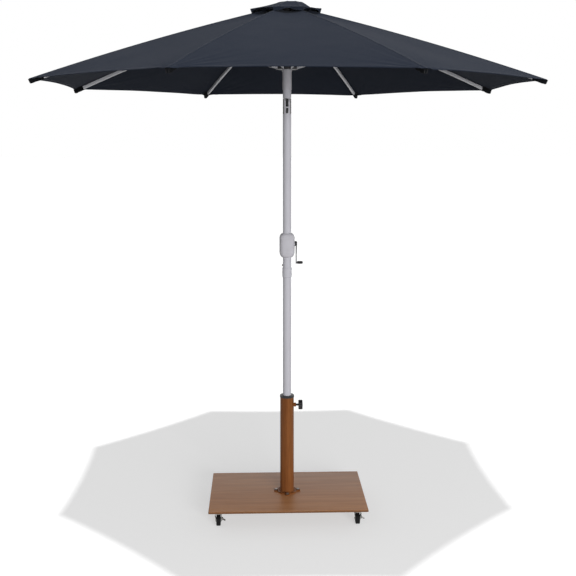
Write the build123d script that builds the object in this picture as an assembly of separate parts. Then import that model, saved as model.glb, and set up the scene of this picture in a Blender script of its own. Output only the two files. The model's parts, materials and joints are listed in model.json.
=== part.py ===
from build123d import *

import os
from math import acos, atan2, cos, degrees, hypot, pi, radians, sin, sqrt

"""Patio umbrella with a wheeled base: a crank-lifted, push-button-tilting market umbrella.

The origin is on the floor, on the mast's axis. +Z is up, the front is towards -Y and the crank
is on the +X side. The ribs lie between the row axes, so a canopy edge faces the front. All
lengths are in millimetres and all angles in degrees.
"""

# ---- general fits --------------------------------------------------------------------------
RUN_GAP = 0.3  # between faces of different moving bodies
PIN_GAP = 0.1  # radial play of a pin in its bore
SEAT_GAP = 0.1  # radial play of a tube in the piece that holds it

# ---- base plate and casters ----------------------------------------------------------------
PLATE_X = 712.0
PLATE_Y = 450.0
PLATE_T = 9.0
PLATE_Z0 = 78.0  # the plate's underside
PLATE_CORNER_R = 14.0
PLATE_EDGE_R = 1.5
CASTER_INSET_X = 43.0
CASTER_INSET_Y = 46.0
CASTER_TRAIL = 16.0
WHEEL_R = 24.0
WHEEL_W = 19.0
WHEEL_EDGE_R = 3.0
WHEEL_DISH_DEPTH = 2.5
WHEEL_DISH_OUTER_R = 17.0
WHEEL_DISH_INNER_R = 8.0
AXLE_R = 3.0
AXLE_HEAD_R = 5.0
AXLE_HEAD_T = 1.6
FORK_T = 2.4
FORK_SHOULDER_X = 16.0
FORK_CROWN_X = 9.0
FORK_CROWN_DROP = 15.0  # from the underside of the plate to the top of the fork's crown
FORK_DEPTH = 22.0
FORK_FOOT_R = 8.0
FORK_SIDE_GAP = 0.6  # from the wheel to the fork's leg
STEM_R = 4.2
STEM_COLLAR_R = 7.0
STEM_COLLAR_T = 3.0
STEM_HEAD_R = 6.4
STEM_HEAD_T = 2.6
STEM_TOP_RECESS = 0.3
CROWN_HUB_R = 7.5
CROWN_HUB_T = 4.0
BRAKE_PIN_R = 1.4
BRAKE_BARREL_R = 3.4
BRAKE_BARREL_LEN = 13.0
BRAKE_EAR_T = 2.0
BRAKE_EAR_R = 4.2
BRAKE_RISE = 8.0  # the lever's pivot above the axle
BRAKE_TAB_LEN = 16.0
BRAKE_TAB_T = 2.6
BRAKE_TAB_DROP = 30.0  # how far the lever points down when the brake is on

# ---- base tube -----------------------------------------------------------------------------
FLANGE_T = 5.0
FLANGE_R = 46.0
FLANGE_LOBE_R = 10.0
FLANGE_BOLT_OUT = 5.0  # from the flange's edge to the circle of its bolts
FLANGE_BOLTS = 4
WELD_LEG = 4.0
BOLT_R = 4.0
BOLT_HOLE_GAP = 0.2
BOLT_HEAD_AF = 13.0
BOLT_HEAD_T = 5.3
TUBE_R = 31.75
TUBE_WALL = 2.0
TUBE_LEN = 442.0
BUSH_LIP_R = 33.3
BUSH_LIP_T = 9.0
BUSH_LIP_EDGE_R = 2.0
BUSH_DEPTH = 62.0
KNOB_BELOW_TUBE_TOP = 38.0
KNOB_STEM_R = 4.9
KNOB_BOSS_R = 9.0
KNOB_BOSS_LEN = 10.0
KNOB_OFF_BOSS = 11.25  # from the boss to the knob's inner face
KNOB_T = 19.0
KNOB_R = 22.0
KNOB_LOBES = 8
KNOB_LOBE_CUT_R = 4.5
KNOB_EDGE_R = 2.0

# ---- mast ----------------------------------------------------------------------------------
MAST_R = 19.05
MAST_WALL = 1.3
SOCKET_WALL = 2.45
SOCKET_LEN = 40.0
SOCKET_SEAT = 30.0
SOCKET_TAPER = 6.0
SOCKET_BELOW_HOUSING = 50.0
SPIGOT_UP = 42.0
SPIGOT_DOWN = 26.0
SPIGOT_WALL = 1.4
SNAP_ABOVE_SOCKET = 13.0
SNAP_R = 3.9
SNAP_OUT = 5.0
SNAP_FLANGE_R = 5.5
SNAP_FLANGE_T = 1.4

# ---- crank ---------------------------------------------------------------------------------
HOUSING_X = 70.0
HOUSING_Y = 60.0
HOUSING_H = 111.0
HOUSING_WALL = 3.0
HOUSING_CORNER_R = 20.0
HOUSING_TOP_EDGE_R = 14.0
HOUSING_FOOT_EDGE_R = 18.0
CRANK_UP = 63.0  # the shaft above the housing's underside
SHAFT_R = 5.0
SHAFT_INTO_CAP = 5.0
SPOOL_PLAY = 1.15  # from the spool's rims to the mast's bore
SPOOL_FLANGE_T = 1.3
SPOOL_FLANGE_H = 2.65
CORD_R = 1.5
CRANK_TURNS = 8
CRANK_CAP_R = 11.0
CRANK_CAP_T = 10.5
CRANK_CAP_EDGE_R = 2.5
ARM_LEN = 88.0
ARM_W = 13.0
ARM_T = 5.5
GRIP_R = 5.6
GRIP_LEN = 26.0
GRIP_PIN_R = 2.6
GRIP_EDGE_R = 1.6
SCREW_HEAD_R = 3.8
SCREW_HEAD_T = 2.4
SCREW_R = 1.9
SCREW_BOSS_R = 4.6
SCREW_INSET_X = 9.0
SCREW_INSET_Z = 15.5
SCREW_LEN = 34.0

# ---- tilt joint ----------------------------------------------------------------------------
TILT_BELOW_CROWN = 418.0  # from the ribs' pivots to the hinge pin
TILT_FOOT = 56.0  # from the hinge pin to the joint's lower end
TILT_ROUND_IN = 0.55  # the rounded cheeks inside the mast's radius
TILT_HEAD_GAP = 1.0  # from the rounded cheeks to the upper tube
TILT_PIN_R = 4.0
TILT_TONGUE_X = 5.9
COVER_T = 4.55
COVER_FOOT = 51.0  # from the hinge pin to the covers' lower ends
PLUG_LEN = 30.0
BUTTON_X = 4.8
BUTTON_H = 24.5
BUTTON_BELOW_PIN = 24.0
BUTTON_DEPTH = 8.0
BUTTON_SINK = 0.2  # the button's face under the mast's, so the runner slides over it
BUTTON_TRAVEL = 3.0
BUTTON_GAP = 0.5

# ---- linkage -------------------------------------------------------------------------------
RIBS = 8
PIVOT_R = 40.0
CROWN_PIVOT_Z = 2317.0
STRUT_LEN = 460.0
CLOSED_ANGLE = 84.0
RIB_W = 10.0
RIB_H = 15.0
RIB_EDGE_R = 1.8
RIB_START = 19.0  # where the bar begins, past its pivot
RIB_AXIS_AT_PIVOT = 3.0  # the bar's axis above its pivot
RIB_AXIS_AT_STRUT = 5.0
RIB_DROP = 348.5  # from the crown's pivots to the bar's axis under the canopy's corner
RIB_BOW = 13.1  # how far the bar's axis rises over a straight line between its ends
BAR_SHORT = 35.0  # from the canopy's corner back to the bar's end
CAP_SHORT = 2.0
CAP_LEN = 47.0
CAP_SIDE_T = 1.4
CAP_TOP_T = 0.4
CAP_EDGE_R = 2.5
TONGUE_T = 7.0
TONGUE_R = 6.5
WIRE_R = 2.0
WIRE_PLAY = 0.5
LUG_R = 7.0
RIVET_R = 2.5
RIVET_HEAD_R = 4.5
RIVET_HEAD_T = 1.5
FORK_GAP = 0.4
FORK_PLATE_T = 2.0
FORK_LEN = 106.0
FORK_ROOT = 18.0
STRUT_W = 11.0
STRUT_H = 13.0
STRUT_START = 20.0
HUB_RIM = 10.0  # from the pivots to the hub's edge
HUB_SLOT_GAP = 0.5
HUB_SLOT_IN = 9.0  # from the pivots to the slots' ends
HUB_UP = 14.0
HUB_DOWN = 8.0
RUNNER_UP = 15.0
RUNNER_DOWN = 7.0
RUNNER_BORE_GAP = 0.5
SLEEVE_WALL = 1.5
SLEEVE_LEN = 100.0  # from the struts' pivots to the sleeve's lower end
SLEEVE_COLLAR_OUT = 1.95
SLEEVE_COLLAR_T = 9.0
CLOSED_CLEARANCE = 3.0  # from the closed runner to the crank housing
CROWN_CAP_IN = 4.0
CROWN_CAP_EDGE_R = 3.0

# ---- canopy --------------------------------------------------------------------------------
CANOPY_R = 1143.0
CANOPY_T = 1.0
CANOPY_BANDS = 4  # straight bands that stand for each gore's curve
OPENING_R = 110.0
CANOPY_GAP = 1.8  # from a rib's top to the lowest point of the cloth's bands
VENT_R = 175.0
VENT_RIM = 4.0  # the vent's flat top past the hub's edge
VENT_GAP = 0.5  # from the canopy to the valance's hem
VALANCE = 18.0
VENT_RISE = 42.0
VENT_T = 1.2

# ---- worked out from the above -------------------------------------------------------------
AXLE_Z = WHEEL_R
PLATE_Z1 = PLATE_Z0 + PLATE_T
FLANGE_Z1 = PLATE_Z1 + FLANGE_T
FLANGE_BOLT_R = FLANGE_R + FLANGE_BOLT_OUT
TUBE_TOP = FLANGE_Z1 + TUBE_LEN
KNOB_Z = TUBE_TOP - KNOB_BELOW_TUBE_TOP
KNOB_X = TUBE_R + KNOB_BOSS_LEN + KNOB_OFF_BOSS
FORK_TOP = PLATE_Z0 - FORK_CROWN_DROP
FORK_LEG_IN = WHEEL_W / 2 + FORK_SIDE_GAP
FORK_LEG_OUT = FORK_LEG_IN + FORK_T
BRAKE_X = FORK_LEG_OUT + BRAKE_EAR_R
BRAKE_Y = CASTER_TRAIL - BRAKE_RISE / 2
BRAKE_Z = AXLE_Z + BRAKE_RISE
MAST_BORE = MAST_R - MAST_WALL
PLUG_R = MAST_BORE - SEAT_GAP
SOCKET_R = MAST_R + SEAT_GAP + SOCKET_WALL
RUNNER_BORE = MAST_R + RUNNER_BORE_GAP
SLEEVE_R = RUNNER_BORE + SLEEVE_WALL
HUB_R = PIVOT_R + HUB_RIM

# The bar's axis is an arc, and the strut's pin lies at the strut's length from the rib's pivot.
CHORD_X = CANOPY_R - PIVOT_R
CHORD_Z = RIB_AXIS_AT_PIVOT + RIB_DROP
CHORD = hypot(CHORD_X, CHORD_Z)
ARC_R = (CHORD**2 / 4 + RIB_BOW**2) / (2 * RIB_BOW)
ARC_X = (PIVOT_R + CANOPY_R) / 2 - (ARC_R - RIB_BOW) * CHORD_Z / CHORD
ARC_Z = CROWN_PIVOT_Z + RIB_AXIS_AT_PIVOT - CHORD_Z / 2 - (ARC_R - RIB_BOW) * CHORD_X / CHORD
ARC_REACH = hypot(PIVOT_R - ARC_X, CROWN_PIVOT_Z - ARC_Z)
STRUT_ARC_R = ARC_R - RIB_AXIS_AT_STRUT
ARC_TO_STRUT = acos((STRUT_LEN**2 + ARC_REACH**2 - STRUT_ARC_R**2) / (2 * STRUT_LEN * ARC_REACH))
ARC_FALL = atan2(CROWN_PIVOT_Z - ARC_Z, ARC_X - PIVOT_R)
OPEN_ANGLE = degrees(ARC_FALL - ARC_TO_STRUT)
STRUT_POINT_R = PIVOT_R + STRUT_LEN * cos(radians(OPEN_ANGLE))
STRUT_POINT_Z = CROWN_PIVOT_Z - STRUT_LEN * sin(radians(OPEN_ANGLE))

RUNNER_PIVOT_Z = CROWN_PIVOT_Z - 2 * STRUT_LEN * sin(radians(OPEN_ANGLE))
TRAVEL = 2 * STRUT_LEN * (sin(radians(CLOSED_ANGLE)) - sin(radians(OPEN_ANGLE)))
SLEEVE_Z0 = RUNNER_PIVOT_Z - SLEEVE_LEN
HOUSING_Z1 = SLEEVE_Z0 - TRAVEL - CLOSED_CLEARANCE
HOUSING_Z0 = HOUSING_Z1 - HOUSING_H
CRANK_Z = HOUSING_Z0 + CRANK_UP
SHAFT_END_X = HOUSING_X / 2 + SHAFT_INTO_CAP
ARM_X0 = HOUSING_X / 2 + CRANK_CAP_T - ARM_T
SPOOL_R = TRAVEL / (2 * pi * CRANK_TURNS) - CORD_R
SPOOL_FLANGE_R = SPOOL_R + SPOOL_FLANGE_H
SPOOL_HALF_W = sqrt((MAST_BORE - SPOOL_PLAY) ** 2 - SPOOL_FLANGE_R**2)
SOCKET_TOP = HOUSING_Z0 - SOCKET_BELOW_HOUSING
SOCKET_FLOOR = SOCKET_TOP - SOCKET_SEAT
SNAP_Z = SOCKET_TOP + SNAP_ABOVE_SOCKET

TILT_PIN_Z = CROWN_PIVOT_Z - TILT_BELOW_CROWN
TILT_ROUND_R = MAST_R - TILT_ROUND_IN
TILT_Z0 = TILT_PIN_Z - TILT_FOOT
TILT_TOP = TILT_PIN_Z + TILT_ROUND_R + TILT_HEAD_GAP
CHEEK_X = MAST_R - COVER_T
COVER_Z0 = TILT_PIN_Z - COVER_FOOT
BUTTON_Z1 = TILT_PIN_Z - BUTTON_BELOW_PIN
BUTTON_Z0 = BUTTON_Z1 - BUTTON_H

FIRST_RIB = 180 / RIBS
RIB_BAR_END = CANOPY_R - BAR_SHORT
CAP_END = CANOPY_R - CAP_SHORT
CAP_START = CAP_END - CAP_LEN
CANOPY_BAND = (CANOPY_R - OPENING_R) / CANOPY_BANDS
CANOPY_BAND_SAG = CANOPY_BAND**2 / (8 * ARC_R)
CASTER_SPOTS = [
    (sx * (PLATE_X / 2 - CASTER_INSET_X), sy * (PLATE_Y / 2 - CASTER_INSET_Y))
    for sy in (-1, 1)
    for sx in (-1, 1)
]
CENTRED = (Align.CENTER, Align.CENTER, Align.CENTER)
STANDING = (Align.CENTER, Align.CENTER, Align.MIN)


# ---- small helpers -------------------------------------------------------------------------
def rod(radius, z0, z1):
    """An upright cylinder on the mast's axis."""
    return Pos(0, 0, z0) * Cylinder(radius, z1 - z0, align=STANDING)


def tube(outer, inner, z0, z1):
    """An upright tube on the mast's axis."""
    return rod(outer, z0, z1) - rod(inner, z0, z1)


def rod_x(radius, x0, x1, y=0.0, z=0.0):
    """A cylinder along X."""
    return Pos((x0 + x1) / 2, y, z) * Rot(0, 90, 0) * Cylinder(radius, abs(x1 - x0), align=CENTRED)


def rod_y(radius, y0, y1, x=0.0, z=0.0):
    """A cylinder along Y."""
    return Pos(x, (y0 + y1) / 2, z) * Rot(90, 0, 0) * Cylinder(radius, abs(y1 - y0), align=CENTRED)


def block(x0, x1, y0, y1, z0, z1):
    """A box between two corners."""
    middle = Pos((x0 + x1) / 2, (y0 + y1) / 2, (z0 + z1) / 2)
    return middle * Box(x1 - x0, y1 - y0, z1 - z0, align=CENTRED)


def turned(points):
    """The solid that a closed outline of (radius, z) points sweeps round the mast's axis."""
    return revolve(make_face(Plane.XZ * Polyline(*points, close=True)), Axis.Z, 360)


def side_slab(face_line, half_width):
    """A slab of that half width in Y, from a closed line drawn in X and Z."""
    return extrude(make_face(face_line), half_width, both=True)


def rib_z(radius):
    """The height of a rib's axis at a radius, with the umbrella open."""
    return ARC_Z + sqrt(ARC_R**2 - (radius - ARC_X) ** 2)


# ---- base ----------------------------------------------------------------------------------
def base_plate():
    """The steel plate, with holes for the flange bolts and the caster stems."""
    plate = Pos(0, 0, PLATE_Z0) * extrude(RectangleRounded(PLATE_X, PLATE_Y, PLATE_CORNER_R), PLATE_T)
    plate = fillet(plate.faces().sort_by(Axis.Z)[-1].edges(), PLATE_EDGE_R)
    for x, y in CASTER_SPOTS:
        plate -= Pos(x, y, 0) * rod(STEM_R + SEAT_GAP, 0, PLATE_Z1 + 1)
    for spot in PolarLocations(FLANGE_BOLT_R, FLANGE_BOLTS):
        plate -= spot * rod(BOLT_R + BOLT_HOLE_GAP, 0, PLATE_Z1 + 1)
    return plate


def foot_flange():
    """The bolted foot of the base tube, with its weld."""
    flange = rod(FLANGE_R, PLATE_Z1, FLANGE_Z1)
    for spot in PolarLocations(FLANGE_BOLT_R, FLANGE_BOLTS):
        flange += spot * rod(FLANGE_LOBE_R, PLATE_Z1, FLANGE_Z1)
    for spot in PolarLocations(FLANGE_BOLT_R, FLANGE_BOLTS):
        flange -= spot * rod(BOLT_R + BOLT_HOLE_GAP, PLATE_Z1 - 1, FLANGE_Z1 + 1)
    top = FLANGE_Z1 + WELD_LEG
    weld = [(TUBE_R, FLANGE_Z1), (TUBE_R + WELD_LEG, FLANGE_Z1), (TUBE_R, top)]
    return flange + turned(weld)


def flange_bolts():
    """Hexagon bolts through the flange and the plate."""
    bolts = []
    for spot in PolarLocations(FLANGE_BOLT_R, FLANGE_BOLTS):
        head = extrude(RegularPolygon(BOLT_HEAD_AF / 2, 6, major_radius=False), BOLT_HEAD_T)
        head = Pos(0, 0, FLANGE_Z1) * chamfer(head.faces().sort_by(Axis.Z)[-1].edges(), BOLT_R / 8)
        bolts.append(spot * (head + rod(BOLT_R, PLATE_Z0, FLANGE_Z1)))
    return Compound(bolts)


def base_tube():
    """The upright tube that holds the mast, drilled for the clamp screw."""
    shell = tube(TUBE_R, TUBE_R - TUBE_WALL, FLANGE_Z1, TUBE_TOP)
    return shell - rod_x(KNOB_STEM_R + RUN_GAP, 0, TUBE_R + 1, z=KNOB_Z)


def tube_bushing():
    """The reducing ring in the tube's mouth."""
    inner = MAST_R + RUN_GAP
    ring = tube(BUSH_LIP_R, inner, TUBE_TOP, TUBE_TOP + BUSH_LIP_T)
    ring = fillet(ring.faces().sort_by(Axis.Z)[-1].edges().sort_by(SortBy.RADIUS)[-1:], BUSH_LIP_EDGE_R)
    ring += tube(TUBE_R - TUBE_WALL - SEAT_GAP, inner, TUBE_TOP - BUSH_DEPTH, TUBE_TOP)
    return ring - rod_x(KNOB_STEM_R + RUN_GAP, 0, TUBE_R, z=KNOB_Z)


def knob_boss():
    """The threaded boss welded on the tube's side."""
    boss = rod_x(KNOB_BOSS_R, TUBE_R / 2, TUBE_R + KNOB_BOSS_LEN, z=KNOB_Z)
    boss -= rod(TUBE_R, KNOB_Z - 2 * KNOB_BOSS_R, KNOB_Z + 2 * KNOB_BOSS_R)
    return boss - rod_x(KNOB_STEM_R + RUN_GAP, 0, KNOB_X, z=KNOB_Z)


def clamp_knob():
    """The lobed hand knob and its screw, which presses on the mast."""
    face = Circle(KNOB_R)
    for spot in PolarLocations(KNOB_R + KNOB_LOBE_CUT_R / 2, KNOB_LOBES, start_angle=180 / KNOB_LOBES):
        face -= spot * Circle(KNOB_LOBE_CUT_R)
    head = extrude(face, KNOB_T)
    ends = head.faces().sort_by(Axis.Z)
    head = fillet(ends[-1].edges() + ends[0].edges(), KNOB_EDGE_R)
    head = Pos(KNOB_X, 0, KNOB_Z) * Rot(0, 90, 0) * head
    return head + rod_x(KNOB_STEM_R, MAST_R + RUN_GAP, KNOB_X, z=KNOB_Z)


# ---- casters -------------------------------------------------------------------------------
def caster_stem(x, y):
    """The swivel stem, riveted into the plate."""
    stem = rod(STEM_R, FORK_TOP - FORK_T, PLATE_Z1 - STEM_TOP_RECESS)
    stem += rod(STEM_COLLAR_R, PLATE_Z0 - STEM_COLLAR_T, PLATE_Z0)
    head_top = FORK_TOP - FORK_T - RUN_GAP
    stem += rod(STEM_HEAD_R, head_top - STEM_HEAD_T, head_top) + rod(STEM_R, head_top, FORK_TOP)
    return Pos(x, y, 0) * stem


def fork_arch():
    """The bent strip of the fork, as a slab wide enough for its side outline."""
    knee = AXLE_Z + FORK_FOOT_R
    shoulder = (FORK_TOP + knee) / 2
    foot = AXLE_Z - FORK_FOOT_R
    right = [
        (FORK_LEG_OUT, foot),
        (FORK_LEG_OUT, knee),
        (FORK_SHOULDER_X, shoulder),
        (FORK_SHOULDER_X, FORK_TOP - (FORK_SHOULDER_X - FORK_CROWN_X)),
        (FORK_CROWN_X, FORK_TOP),
    ]
    t = FORK_T
    inner = [
        (FORK_LEG_IN, foot - 1),
        (FORK_LEG_IN, knee + t / 4),
        (FORK_SHOULDER_X - t, shoulder + t / 4),
        (FORK_SHOULDER_X - t, FORK_TOP - (FORK_SHOULDER_X - FORK_CROWN_X) - t / 3),
        (FORK_CROWN_X - t / 3, FORK_TOP - t),
    ]
    outlines = []
    for half in (right, inner):
        points = half + [(-x, z) for x, z in reversed(half)]
        outlines.append(Plane.XZ * Polyline(*points, close=True))
    solid, hollow = (side_slab(line, 2 * FORK_DEPTH) for line in outlines)
    return solid - hollow


def fork_side():
    """The fork's outline seen from its side: a crown that narrows to the axle."""
    half = FORK_DEPTH / 2
    top = Pos(0, 0, FORK_TOP - FORK_T) * Box(4 * FORK_SHOULDER_X, FORK_DEPTH, FORK_T, align=STANDING)
    leg = Plane.YZ * Polyline(
        (-half, FORK_TOP),
        (half, FORK_TOP),
        (CASTER_TRAIL + FORK_FOOT_R, AXLE_Z),
        (CASTER_TRAIL - FORK_FOOT_R, AXLE_Z),
        close=True,
    )
    leg = extrude(make_face(leg), 2 * FORK_SHOULDER_X, both=True)
    foot = rod_x(FORK_FOOT_R, -2 * FORK_SHOULDER_X, 2 * FORK_SHOULDER_X, y=CASTER_TRAIL, z=AXLE_Z)
    return leg + foot + top


def caster_fork(x, y):
    """A swivel fork with its axle and the ears of the brake lever."""
    fork = fork_arch() & fork_side()
    fork += rod(CROWN_HUB_R, FORK_TOP, FORK_TOP + CROWN_HUB_T)
    fork -= rod(STEM_R + PIN_GAP, FORK_TOP - 2 * FORK_T, FORK_TOP + 2 * CROWN_HUB_T)
    outer = FORK_LEG_OUT
    fork += rod_x(AXLE_R, -outer - AXLE_HEAD_T, outer + AXLE_HEAD_T, y=CASTER_TRAIL, z=AXLE_Z)
    for side in (-1, 1):
        fork += rod_x(AXLE_HEAD_R, side * outer, side * (outer + AXLE_HEAD_T), y=CASTER_TRAIL, z=AXLE_Z)
    near = BRAKE_BARREL_LEN / 2 + RUN_GAP
    for side in (-1, 1):
        y0, y1 = sorted((side * near, side * (near + BRAKE_EAR_T)))
        ear = rod_y(BRAKE_EAR_R, y0, y1, BRAKE_X, BRAKE_Z)
        web = (BRAKE_Z - BRAKE_EAR_R, BRAKE_Z + BRAKE_EAR_R)
        ear += block(FORK_LEG_IN + FORK_T / 2, BRAKE_X, y0, y1, *web)
        fork += Pos(0, BRAKE_Y, 0) * ear
    end = near + BRAKE_EAR_T
    fork += Pos(0, BRAKE_Y, 0) * rod_y(BRAKE_PIN_R, -end, end, BRAKE_X, BRAKE_Z)
    return Pos(x, y, 0) * fork


def caster_brake(x, y):
    """The brake lever, which points down and out when the brake is on."""
    lever = rod_y(BRAKE_BARREL_R, -BRAKE_BARREL_LEN / 2, BRAKE_BARREL_LEN / 2, 0, 0)
    half = BRAKE_BARREL_LEN / 2
    tab = block(0, BRAKE_TAB_LEN, -half, half, -BRAKE_TAB_T / 2, BRAKE_TAB_T / 2)
    tab = fillet(tab.edges().filter_by(Axis.Z).sort_by(Axis.X)[-2:], BRAKE_BARREL_R)
    lever += Rot(0, BRAKE_TAB_DROP, 0) * tab
    lever -= rod_y(BRAKE_PIN_R + PIN_GAP, -half - 1, half + 1, 0, 0)
    return Pos(x + BRAKE_X, y + BRAKE_Y, BRAKE_Z) * lever


def caster_wheel(x, y):
    """A wheel with a rounded tread and dished sides."""
    half = WHEEL_W / 2
    wheel = Rot(0, 90, 0) * Cylinder(WHEEL_R, WHEEL_W, align=CENTRED)
    wheel = fillet(wheel.edges().filter_by(GeomType.CIRCLE), WHEEL_EDGE_R)
    for side in (-1, 1):
        ends = sorted((side * (half - WHEEL_DISH_DEPTH), side * (half + 1)))
        wheel -= rod_x(WHEEL_DISH_OUTER_R, *ends) - rod_x(WHEEL_DISH_INNER_R, *ends)
    wheel -= rod_x(AXLE_R + PIN_GAP, -WHEEL_W, WHEEL_W)
    return Pos(x, y + CASTER_TRAIL, AXLE_Z) * wheel


# ---- mast ----------------------------------------------------------------------------------
def lower_pole():
    """The lower mast, with the widened socket and the spigot that join the upper mast."""
    spigot = PLUG_R
    bore = spigot - SPIGOT_WALL
    foot = FLANGE_Z1 + RUN_GAP
    outline = [
        (MAST_R, foot),
        (MAST_R, SOCKET_TOP - SOCKET_LEN - SOCKET_TAPER),
        (SOCKET_R, SOCKET_TOP - SOCKET_LEN),
        (SOCKET_R, SOCKET_TOP),
        (MAST_R + SEAT_GAP, SOCKET_TOP),
        (MAST_R + SEAT_GAP, SOCKET_FLOOR),
        (spigot, SOCKET_FLOOR),
        (spigot, SOCKET_TOP + SPIGOT_UP),
        (bore, SOCKET_TOP + SPIGOT_UP),
        (bore, SOCKET_FLOOR - SPIGOT_DOWN),
        (MAST_BORE, SOCKET_FLOOR - SPIGOT_DOWN - SOCKET_TAPER),
        (MAST_BORE, foot),
    ]
    return turned(outline) - rod_x(SNAP_R + RUN_GAP, -SOCKET_R, 0, z=SNAP_Z)


def upper_pole():
    """The upper mast, from the socket to the tilt joint."""
    pole = tube(MAST_R, MAST_BORE, SOCKET_FLOOR, TILT_Z0)
    pole -= rod_x(SNAP_R + RUN_GAP, -SOCKET_R, 0, z=SNAP_Z)
    return pole - rod_x(SHAFT_R + RUN_GAP, -SOCKET_R, SOCKET_R, z=CRANK_Z)


def snap_button():
    """The sprung button that locks the two halves of the mast."""
    spigot_bore = MAST_BORE - SEAT_GAP - SPIGOT_WALL
    back = -sqrt(spigot_bore**2 - SNAP_FLANGE_R**2) + RUN_GAP
    tip = -MAST_R - SNAP_OUT
    button = rod_x(SNAP_R, tip, back, z=SNAP_Z)
    button = fillet(button.edges().filter_by(GeomType.CIRCLE).sort_by(Axis.X)[:1], SNAP_R / 2)
    return button + rod_x(SNAP_FLANGE_R, back, back + SNAP_FLANGE_T, z=SNAP_Z)


# ---- crank ---------------------------------------------------------------------------------
def housing_block(inset):
    """The housing's rounded block, smaller by an inset all round."""
    outline = RectangleRounded(HOUSING_X - 2 * inset, HOUSING_Y - 2 * inset, HOUSING_CORNER_R - inset)
    solid = extrude(outline, HOUSING_H - 2 * inset)
    ends = solid.faces().sort_by(Axis.Z)
    solid = fillet(ends[-1].edges(), HOUSING_TOP_EDGE_R - inset)
    foot = solid.faces().sort_by(Axis.Z)[0]
    return fillet(foot.edges(), HOUSING_FOOT_EDGE_R - inset)


def housing_shell():
    """The whole crank housing, with the screw bosses and the holes."""
    w = HOUSING_WALL
    shell = Pos(0, 0, HOUSING_Z0) * (housing_block(0) - Pos(0, 0, w) * housing_block(w))
    for x, z in screw_spots():
        shell += rod_y(SCREW_BOSS_R, -SCREW_LEN / 2, HOUSING_Y / 2 - w, x, z)
        shell -= rod_y(SCREW_R + PIN_GAP, -SCREW_LEN / 2 - 1, HOUSING_Y, x, z)
        shell -= rod_y(SCREW_HEAD_R + PIN_GAP, HOUSING_Y / 2 - SCREW_HEAD_T, HOUSING_Y, x, z)
    shell -= rod(MAST_R + SEAT_GAP, HOUSING_Z0 - 1, HOUSING_Z1 + 1)
    return shell - rod_x(SHAFT_R + RUN_GAP, 0, HOUSING_X, z=CRANK_Z)


def screw_spots():
    """The (x, z) places of the housing screws."""
    x = HOUSING_X / 2 - SCREW_INSET_X
    return [(sx * x, z) for sx in (-1, 1) for z in (HOUSING_Z0 + SCREW_INSET_Z, HOUSING_Z1 - SCREW_INSET_Z)]


def housing_half(side):
    """The front (-1) or back (1) half of the crank housing."""
    y0, y1 = sorted((0, side * HOUSING_Y))
    return housing_shell() & block(-HOUSING_X, HOUSING_X, y0, y1, HOUSING_Z0 - 1, HOUSING_Z1 + 1)


def housing_screws():
    """The screws that hold the back half on."""
    face = HOUSING_Y / 2
    screws = []
    for x, z in screw_spots():
        screw = rod_y(SCREW_HEAD_R, face - SCREW_HEAD_T, face, x, z)
        screws.append(screw + rod_y(SCREW_R, face - SCREW_LEN, face - SCREW_HEAD_T, x, z))
    return Compound(screws)


def cord_spool():
    """The winding drum inside the mast, on the crank's shaft."""
    spool = rod_x(SPOOL_R, -SPOOL_HALF_W, SPOOL_HALF_W, z=CRANK_Z)
    for side in (-1, 1):
        ends = sorted((side * (SPOOL_HALF_W - SPOOL_FLANGE_T), side * SPOOL_HALF_W))
        spool += rod_x(SPOOL_FLANGE_R, *ends, z=CRANK_Z)
    return spool + rod_x(SHAFT_R, -MAST_R - HOUSING_WALL, SHAFT_END_X, z=CRANK_Z)


def crank_cap():
    """The moulded hub that fits the crank arm to its shaft."""
    x0 = HOUSING_X / 2 + RUN_GAP
    cap = rod_x(CRANK_CAP_R, x0, x0 + CRANK_CAP_T, z=CRANK_Z)
    cap = fillet(cap.edges().filter_by(GeomType.CIRCLE).sort_by(Axis.X)[-1:], CRANK_CAP_EDGE_R)
    cap -= rod_x(SHAFT_R, 0, SHAFT_END_X, z=CRANK_Z)
    return cap - arm_bar()


def arm_bar():
    """The flat bar of the crank arm."""
    half = ARM_W / 2
    bar = block(ARM_X0, ARM_X0 + ARM_T, -half, half, CRANK_Z - ARM_LEN, CRANK_Z)
    for z in (CRANK_Z, CRANK_Z - ARM_LEN):
        bar += rod_x(half, ARM_X0, ARM_X0 + ARM_T, z=z)
    return bar


def crank_arm():
    """The crank arm with the pin of its grip."""
    z = CRANK_Z - ARM_LEN
    end = ARM_X0 + ARM_T + 2 * RUN_GAP + GRIP_LEN
    arm = arm_bar() + rod_x(GRIP_PIN_R, ARM_X0, end, z=z)
    return arm + rod_x(GRIP_R - GRIP_EDGE_R, end, end + GRIP_EDGE_R, z=z)


def crank_grip():
    """The spinning grip."""
    z = CRANK_Z - ARM_LEN
    x0 = ARM_X0 + ARM_T + RUN_GAP
    grip = rod_x(GRIP_R, x0, x0 + GRIP_LEN, z=z)
    grip = fillet(grip.edges().filter_by(GeomType.CIRCLE), GRIP_EDGE_R)
    return grip - rod_x(GRIP_PIN_R + PIN_GAP, x0 - 1, x0 + GRIP_LEN + 1, z=z)


# ---- tilt joint ----------------------------------------------------------------------------
def cheek_outline():
    """The space under the rounded top of the joint's cheeks."""
    below = block(-MAST_R, MAST_R, -MAST_R, MAST_R, TILT_Z0, TILT_PIN_Z)
    return below + rod_x(TILT_ROUND_R, -MAST_R, MAST_R, z=TILT_PIN_Z)


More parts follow.
